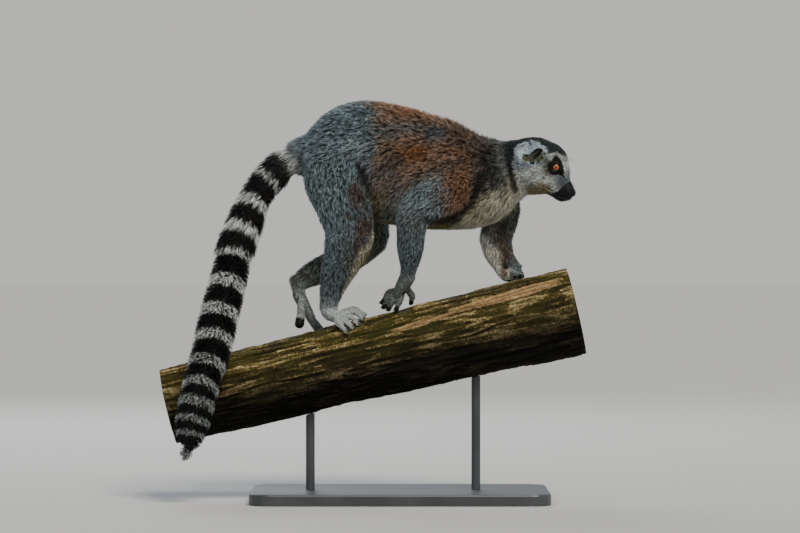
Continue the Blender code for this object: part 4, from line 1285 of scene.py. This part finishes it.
def fields(mesh):
    """The skin's triangles, their corners' places on the unwrap, and their sizes in mm2."""
    triangles = read(mesh.loops, "vertex_index", 1, np.int64).reshape(-1, 3)
    flat = read(mesh.uv_layers["OFBake"].data, "uv", 2)
    a, b, c = (hide_points[triangles[:, i]] * 1000 for i in range(3))
    return triangles, flat.reshape(-1, 3, 2), np.linalg.norm(np.cross(b - a, c - a), axis=1) / 2


def per_kind(column):
    """One of the coat's sizes, evened out over the skin."""
    return hide_weights @ np.array([COAT[kind_of(name)][column] for name in FLESH])


def root_everywhere(triangles, areas, spacing):
    """Picks roots evenly over the skin: walking its triangles in order, one every so much area."""
    centres = hide_points[triangles].mean(1)
    cells = np.floor((centres - centres.min(0)) / 0.005).astype(np.int64)
    order = np.lexsort((cells[:, 1] * (1 - 2 * (cells[:, 2] % 2)), cells[:, 2],
                        cells[:, 0]))
    wanted = areas / spacing[triangles].mean(1) ** 2 * (1 - hide_bare[triangles].mean(1))
    total = np.cumsum(wanted[order])
    marks = np.arange(int(total[-1])) + RANDOM.uniform(0, 1, int(total[-1]))
    chosen = order[np.searchsorted(total, np.clip(marks, 0, total[-1] - 1e-6))]
    share = RANDOM.uniform(0, 1, (len(chosen), 2))
    over = share.sum(1) > 1
    share[over] = 1 - share[over]
    return chosen, np.column_stack((1 - share.sum(1), share))


def turned(vectors, normals, angles):
    """Vectors turned in the surface by an angle each."""
    return vectors * np.cos(angles)[:, None] + np.cross(normals, vectors) * np.sin(angles)[:, None]


class Tufts:
    """Every tuft's root, lie, size and colours, as arrays."""

    def __init__(self):
        triangles, unwrapped, areas = fields(skin.data)
        chosen, share = root_everywhere(triangles, areas, per_kind(SPACING))

        def at_roots(values):
            values = values[triangles[chosen]]
            if values.ndim == 3:
                return np.einsum("ij,ijk->ik", share, values)
            return np.sum(values * share, axis=1)

        self.root = at_roots(hide_points)
        self.normal = unit(at_roots(hide_normals))
        self.way = set_across(at_roots(hide_ways), self.normal)
        self.weights = at_roots(hide_weights)
        self.length, self.width = at_roots(per_kind(LENGTH)), at_roots(per_kind(WIDTH))
        self.depth = at_roots(even_depth(hide_points, hide_owners, hide_edges))
        self.place = np.einsum("ij,ijk->ik", share, unwrapped[chosen])
        self.tail = at_roots(hide_places)
        self.tip, self.base, _, self.bare = markings(self.root, self.normal, self.weights, self.tail)
        self.owner = np.argmax(self.weights, axis=1)
        self.lock = at_roots(per_kind(LOCK))
        front = share_of(self.weights, "trunk", "neck")
        chest = smooth_step(below_collar(self.root), -10, 14) * smooth_step(self.root[:, 0], 0.05, 0.1)
        self.chest = chest * front
        self.length *= 1 + LONG_CHEST * self.chest
        self.lock *= 1 + 0.3 * self.chest
        hollow = within(*from_the_side(self.root), EAR_HOLLOW, 4.5)
        on_ear, self.face = share_of(self.weights, "ear"), share_of(self.weights, "head")
        self.length *= 1 - SHORT_HOLLOW * np.clip(on_ear + self.face, 0, 1) * hollow
        back = smooth_step(self.normal[:, 2], 0.3, 0.8) * smooth_step(self.root[:, 0], 0.0, 0.05)
        self.depth *= 1 + 0.5 * back * front * (RANDOM.uniform(0, 1, len(back)) > 0.6)
        heel = smooth_step(-self.root[:, 0], 0.14, 0.152) * (1 - on_ear)
        self.length *= 1 - SHORT_HEEL * heel * (self.root[:, 2] < 0.37)
        self.paw = share_of(self.weights, "hand", "foot")
        from_eye = np.min([np.linalg.norm(self.root - EYES[s], axis=1) for s in EYES], axis=0)
        self.length *= 1 - SHORT_EYES * self.face * (1 - smooth_step(from_eye, 0.009, 0.02))
        self.length *= 1 - SHORT_MUZZLE * self.face * smooth_step(on_face(self.root)[0], -12, 6)
        self.depth = np.maximum(self.depth, LEAST_DEPTH)
        end = self.tail.max() - self.tail
        on_tail = share_of(self.weights, "tail")
        self.length *= 1 - SHORT_TIP * on_tail * (1 - smooth_step(end, 0.0, 0.045))
        self.depth *= 1 - 0.4 * on_tail * (1 - smooth_step(end, 0.0, 0.03))

    def keep(self, wanted):
        for name, values in vars(self).items():
            setattr(self, name, values[wanted])


def locks_of(tufts):
    """The way from each tuft to the middle of its lock, and how the whole lock turns and shades."""
    size = np.round(tufts.lock, 1)
    cells = np.floor(tufts.root * 1000 / size[:, None])
    _, firsts = np.unique(np.column_stack((cells, size)), axis=0, return_index=True)
    tree = KDTree(len(firsts))
    for index, first in enumerate(firsts):
        tree.insert(Vector(tufts.root[first]), index)
    tree.balance()
    nearest = np.array([tree.find(Vector(p))[1] for p in tufts.root])
    pull = tufts.root[firsts][nearest] - tufts.root
    wander = RANDOM.normal(0, LOCK_WANDER, len(firsts))[nearest]
    length = RANDOM.uniform(0.84, 1.14, len(firsts))[nearest]
    shade = np.exp(RANDOM.normal(0, LOCK_SHADE, len(firsts)))[nearest]
    return pull, wander, length, shade


def tuft_shapes(tufts, rings):
    """The points and colours of all tufts: rings of three points along a bent, tapering spine."""
    count = len(tufts.root)
    pull, wander, size, shade = locks_of(tufts)
    wander = wander + RANDOM.normal(0, TUFT_WANDER, count) + 0.3 * unevenness(tufts.root, 30, 21)
    wander *= 1 - 0.6 * tufts.chest
    calm = 1 - 0.65 * of_kind("tail")[tufts.owner]
    wander, size = wander * calm, 1 + (size - 1) * calm
    way = turned(tufts.way, tufts.normal, wander)
    across = np.cross(tufts.normal, way)
    length = tufts.length * size * (1 + RANDOM.uniform(-0.14, 0.14, count) * calm) / 1000
    aside = np.sum(pull * across, axis=1)
    edge = smooth_step(np.abs(aside) * 1000 / tufts.lock, 0.14, 0.46)
    reach = np.minimum(tufts.depth * RANDOM.uniform(0.72, 1.06, count) / 1000, length * 0.9)
    reach *= 1 - 0.2 * edge
    along = np.sqrt(length ** 2 - reach ** 2)
    pull = across * (aside * LOCK_PULL)[:, None]
    curl = RANDOM.normal(0, 0.07, count) * length
    phase = RANDOM.uniform(0, math.tau, count)
    width = tufts.width * RANDOM.uniform(0.8, 1.25, count) / 2000
    points = np.empty((count, rings * 3 + 1, 3), np.float32)
    colours = np.empty((count, rings * 3 + 1, 3), np.float32)
    uneven = TUFT_SHADE + 0.12 * tufts.paw - 0.12 * tufts.face
    # Painted shade in the gaps between locks.
    gap = LOCK_GAP_SHADE * edge * calm * (1 - 0.5 * tufts.face)
    bright = shade * np.exp(RANDOM.normal(0, 1, count) * uneven) * (1.32 - gap)
    bright = np.clip(bright, 0.15, 2.3)
    for ring in range(rings + 1):
        t = ring / rings
        spine = (tufts.root - tufts.normal * 0.0006 + way * (along * t)[:, None]
                 + tufts.normal * (reach * (1 - (1 - t) ** RISE_BEND))[:, None]
                 + pull * t ** 1.3
                 + across * (curl * np.sin(3.2 * t + phase) * t)[:, None])
        hue = tufts.base + (tufts.tip - tufts.base) * (0.05 + 0.95 * t ** 1.9)
        hue = np.clip(hue * bright[:, None], 0, 1)
        if ring == rings:
            points[:, -1] = spine
            colours[:, -1] = hue
            continue
        girth = width * TAPER[min(3, int(4 * t))]
        for corner, (aside, lift) in enumerate(CORNERS):
            index = ring * 3 + corner
            points[:, index] = (spine + across * (girth * aside)[:, None]
                                + tufts.normal * (girth * lift)[:, None])
            colours[:, index] = hue
    return points, colours


def tuft_faces(rings):
    """Corner indices of one tuft's faces, and each corner's place on its patch."""
    faces, places = [], []
    for ring in range(rings):
        low, high = ring / rings - 0.5, (ring + 1) / rings - 0.5
        for side in range(3):
            here, after = ring * 3 + side, ring * 3 + (side + 1) % 3
            left, right = side / 3 - 0.5, (side + 1) / 3 - 0.5
            if ring == rings - 1:
                faces.append((here, after, rings * 3))
                places.append(((left, low), (right, low), ((left + right) / 2, high)))
            else:
                faces.append((here, after, after + 3, here + 3))
                places.append(((left, low), (right, low), (right, high), (left, high)))
    faces.append((0, 2, 1))
    places.append(((-0.5, -0.5), (-0.17, -0.5), (0.17, -0.5)))
    return faces, places


def coat_piece(name, tufts, wanted, points, colours, rings):
    """One mesh of many tufts, built in one go."""
    points, colours, patches = points[wanted], colours[wanted], tufts.place[wanted]
    count, per = points.shape[:2]
    faces, places = tuft_faces(rings)
    sizes = np.array([len(f) for f in faces])
    one = np.concatenate([np.array(f) for f in faces])
    corners = (one[None] + per * np.arange(count)[:, None]).ravel()
    starts = np.concatenate(([0], np.cumsum(np.tile(sizes, count))[:-1]))
    laid = np.concatenate([np.array(p) for p in places]) * PATCH
    unwrapped = (patches[:, None] + laid[None]).reshape(-1, 2)
    mesh = bpy.data.meshes.new(name)
    mesh.vertices.add(count * per)
    mesh.vertices.foreach_set("co", points.ravel())
    mesh.loops.add(len(corners))
    mesh.loops.foreach_set("vertex_index", corners.astype(np.int32))
    mesh.polygons.add(len(starts))
    mesh.polygons.foreach_set("loop_start", starts.astype(np.int32))
    mesh.update(calc_edges=True)
    mesh.shade_smooth()
    mesh.uv_layers.new(name="OFBake").data.foreach_set("uv", unwrapped.astype(np.float32).ravel())
    new_attribute(mesh, "hair", colours.reshape(-1, 3))
    mesh.materials.append(HAIR_FINISH)
    return new_object(name, mesh)


def hair_finish():
    """Dry guard hair: soft, matt, with a slight sheen where light grazes it."""
    hair = Finish("dry_guard_hair")
    return hair.material({"Base Color": hair.stored("hair", "Color"), "Roughness": 0.62, "IOR": 1.55,
                          "Specular IOR Level": 0.2, "Sheen Weight": 0.04, "Sheen Roughness": 0.5})


HAIR_FINISH = hair_finish()
# Each coat piece: the parts it grows on, the record's slot, the rings of points in a tuft, and
# where along the body it starts and ends.
REAR, LOIN, WITHERS, FRONT = -1.0, -0.045, 0.045, 1.0
PIECES = (
    ("coat_head", ("head", "ear"), "pale_coat", 2, REAR, FRONT),
    ("coat_neck", ("neck",), "dark_coat", 3, REAR, FRONT),
    ("coat_rump", ("trunk",), "grey_coat", 2, REAR, LOIN),
    ("coat_back_and_belly", ("trunk",), "brown_coat", 2, LOIN, WITHERS),
    ("coat_shoulders_and_chest", ("trunk",), "brown_coat", 2, WITHERS, FRONT),
    ("coat_upper_arms", ("upper_arm",), "grey_coat", 2, REAR, FRONT),
    ("coat_thighs", ("thigh",), "grey_coat", 2, REAR, FRONT),
    ("coat_forearms", ("forearm",), "grey_coat", 2, REAR, FRONT),
    ("coat_shanks", ("shank",), "grey_coat", 2, REAR, FRONT),
    ("coat_hands_and_feet", ("hand", "foot"), "pale_coat", 2, REAR, FRONT),
    ("coat_tail_upper", ("tail_1", "tail_2", "tail_3"), "dark_coat", 3, REAR, FRONT),
    ("coat_tail_lower", ("tail_4", "tail_5"), "dark_coat", 3, REAR, FRONT),
)
all_tufts = Tufts()
all_tufts.keep(all_tufts.bare < 0.5)
shapes = {rings: tuft_shapes(all_tufts, rings) for rings in (2, 3)}
for name, grown_on, slot, rings, start, end in PIECES:
    nodes_here = [i for i, n in enumerate(FLESH) if n.startswith(grown_on)]
    wanted = np.isin(all_tufts.owner, nodes_here)
    wanted &= (all_tufts.root[:, 0] >= start) & (all_tufts.root[:, 0] < end)
    piece = coat_piece(name, all_tufts, np.nonzero(wanted)[0], *shapes[rings], rings)
    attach(piece, "root")


# ---------------------------------------------------------------------------
# Eyes: glass eyes as a taxidermist sets them, clear domes over a painted iris, glowing amber
# with fine spokes and a dark edge round a small round pupil. They are set into the lids.

PUPIL, IRIS, RAMP_REACH = 1.3, 4.0, 8.0  # mm from the eye's axis
CORNEA, CORNEA_RISE = 5.2, 0.4  # mm from the axis to its edge, and how far it stands out
EYE_SEGMENTS, EYE_RINGS = 64, 48


def glass_eye(side):
    """A ball with its pole on the gaze, drawn a little forward there into a cornea."""
    bpy.ops.mesh.primitive_uv_sphere_add(segments=EYE_SEGMENTS, ring_count=EYE_RINGS, radius=1)
    eye = bpy.context.active_object
    eye.name = eye.data.name = "glass_eye_" + side
    points = coordinates(eye.data)
    out = Vector(gaze(side))
    turn = np.array(out.to_track_quat("Z", "Y").to_matrix())
    from_axis = np.hypot(points[:, 0], points[:, 1]) * EYE_RADIUS * 1000
    bulge = CORNEA_RISE * (1 - smooth_step(from_axis, 0.0, CORNEA)) * (points[:, 2] > 0)
    placed = (points * (EYE_RADIUS - 0.0001) + np.outer(bulge / 1000, (0, 0, 1))) @ turn.T
    move_points(eye.data, placed + EYES[side])
    new_attribute(eye.data, "from_axis", np.where(points[:, 2] > 0, from_axis, 20.0))
    new_attribute(eye.data, "spoke", np.arctan2(points[:, 1], points[:, 0]))
    eye.data.shade_smooth()
    return eye


def amber_glass():
    """Painted glass: black pupil, amber iris with spokes, black rim, under a wet clear coat."""
    glass = Finish("painted_glass_amber")
    from_axis, spoke = glass.stored("from_axis"), glass.stored("spoke")
    rays = glass.add("TexNoise", {"W": spoke, "Scale": 9.0, "Detail": 3}, noise_dimensions="1D")
    tone = glass.ramp(glass.ranged(from_axis, 0.0, RAMP_REACH),
                      (0.0, "#020101"), (1.0, "#060504"), (PUPIL / RAMP_REACH, "#020101"),
                      (PUPIL / RAMP_REACH + 0.03, "#7a3208"), (0.34, "#cf6a1a"), (0.46, "#b85a12"),
                      (IRIS / RAMP_REACH - 0.02, "#5c2907"), (IRIS / RAMP_REACH + 0.03, "#070504"))
    shift = glass.ranged(rays.outputs["Fac"], 0.3, 0.7, 0.7, 1.15)
    return glass.material({"Base Color": glass.scaled(tone, shift), "Roughness": 0.25, "IOR": 1.5,
                           "Coat Weight": 0.2, "Coat Roughness": 0.04})


AMBER = amber_glass()
for side in EYES:
    eye = glass_eye(side)
    eye.data.materials.append(AMBER)
    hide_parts("eye_" + side)
    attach(eye, "root")


# ---------------------------------------------------------------------------
# Nails: a small flat nail of dark horn on the back of every digit's end, slid in under the coat
# so that only its free edge and back show, with a dull polish.

NAIL = (3.4, 2.1, 0.8)  # mm, half its length, width and thickness


def nails():
    """Flattened, slightly hooked ellipsoids, one on each digit, as one piece."""
    shape = bmesh.new()
    for _, tip, way, radius in TIPS:
        way = Vector(way).normalized()
        up = Vector(PERCH_UP) - way * way.dot(Vector(PERCH_UP))
        if up.length < 0.3:
            up = Vector(PERCH_SIDE) - way * way.dot(Vector(PERCH_SIDE))
        up.normalize()
        across = up.cross(way)
        made = bmesh.ops.create_uvsphere(shape, u_segments=16, v_segments=10, radius=1)
        for vert in made["verts"]:
            long, wide, thick = (c * n for c, n in zip(vert.co, NAIL))
            thick += radius * 0.92 - 0.10 * wide * wide - 0.055 * max(long + 1, 0) ** 2
            place = Vector(tip) + way * (long + 1.4) + across * wide + up * thick
            vert.co = place / 1000
    piece = object_from(shape, "nails")
    piece.data.shade_smooth()
    return piece


horn = Finish("dark_horn").material({"Base Color": linear("#1b1a18"), "Roughness": 0.42, "IOR": 1.55})
claws = nails()
claws.data.materials.append(horn)
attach(claws, "root")


# ---------------------------------------------------------------------------
# Whiskers: stiff single hairs set into the upper lip and over the brow, all of one dark colour,
# curving down as they thin to a point.

WHISKER_ROOTS = ((2.0, -24.0, 27), (6.0, -25.0, 25), (10.0, -25.5, 22), (4.0, -28.0, 26),
                 (8.0, -28.5, 22), (0.0, -27.0, 24), (2.0, 12.0, 20), (5.0, 10.5, 22),
                 (8.0, 8.0, 18))  # ahead, up and length in mm
WHISKER_RADIUS, WHISKER_DROOP = 0.17, 3.2  # mm


def whiskers():
    """Thin curved cones, each rooted where the skin meets a line drawn in from the side."""
    shape = bmesh.new()
    tree = BVHTree.FromObject(skin, bpy.context.evaluated_depsgraph_get())
    for side in (1, -1):
        for index, (ahead, up, length) in enumerate(WHISKER_ROOTS):
            aim = FACE_MIDDLE + (FACE_AHEAD * ahead + np.array((0, 0, up))) / 1000
            out = FACE_LEFT * side
            root = np.array(tree.ray_cast(Vector(aim + out * 0.05), Vector(-out))[0])
            rise = 0.1 - 0.05 * (index % 3)
            way = unit((out * 0.75 + FACE_AHEAD * 0.8 + np.array((0, 0, rise)))[None])[0]
            rows = []
            for step in range(5):
                t = step / 4
                droop = np.array((0, 0, -WHISKER_DROOP * t * t))
                place = root * 1000 + way * (length * t - 1) + droop
                rows.append((*place, WHISKER_RADIUS * (1.05 - t), WHISKER_RADIUS * (1.05 - t)))
            add_tube(shape, rows, sides=5, per_gap=2)
    return object_from(shape, "whiskers")


bristle = Finish("stiff_dark_bristle").material({"Base Color": linear("#24221f"), "Roughness": 0.4,
                                                 "IOR": 1.55})
feelers = whiskers()
feelers.data.materials.append(bristle)
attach(feelers, "root")


# ---------------------------------------------------------------------------
# Floor, lights and camera: a plain matt floor that meets an equally pale surround, a broad soft
# key from above and in front, and a light behind that lifts the coat's edge.

CAMERA_AWAY, CAMERA_HEIGHT, VIEW_WIDTH, SENSOR = 5.0, 0.339, 1.16, 36
AIM_HEIGHT = 0.35  # of what the lamps point at

pale = Finish("matt_pale_floor").material({"Base Color": linear("#bfbfbd"), "Roughness": 0.95,
                                           "Specular IOR Level": 0.1})
bpy.ops.mesh.primitive_plane_add(size=120, location=(0, 0, -0.0005))
floor = bpy.context.active_object
floor.name = floor.data.name = "studio_floor"
floor.data.materials.append(pale)

for name, kind, place, size, power, tint in (
        ("key", "SUN", (0.8, -2.1, 2.7), math.radians(22), 3.2, "#fff4e6"),
        ("edge", "AREA", (-0.9, 2.6, 2.2), 1.6, 45, "#f2f6ff")):
    lamp = bpy.data.lights.new(name, kind)
    if kind == "SUN":
        lamp.angle = size
    else:
        lamp.size = size
    lamp.energy = power
    lamp.color = linear(tint)[:3]
    holder = new_object(name, lamp)
    holder.location = place
    aim = Vector((0, 0, AIM_HEIGHT)) - Vector(place)
    holder.rotation_euler = aim.to_track_quat("-Z", "Y").to_euler()

# The surround is as pale as the far floor near the horizon, and a dimmer, cooler dome above.
world = Finish("pale_studio", "worlds")
height = world.add("SeparateXYZ", {0: world.add("TexCoord").outputs["Generated"]}).outputs["Z"]
sky = world.blend(world.ranged(height, 0.1, 0.4), linear("#c0bfbc"), linear("#98a2ab"))
backdrop = world.add("Background", {"Color": sky, "Strength": 1.18})
world.add("OutputWorld", {"Surface": backdrop.outputs[0]})
bpy.context.scene.world = world.owner

camera = new_object("camera", bpy.data.cameras.new("camera"))
camera.data.sensor_width = SENSOR
camera.data.lens = SENSOR * CAMERA_AWAY / VIEW_WIDTH
camera.data.clip_end = 100
camera.location = (0, -CAMERA_AWAY, CAMERA_HEIGHT)
camera.rotation_euler = (math.pi / 2, 0, 0)
bpy.context.scene.camera = camera
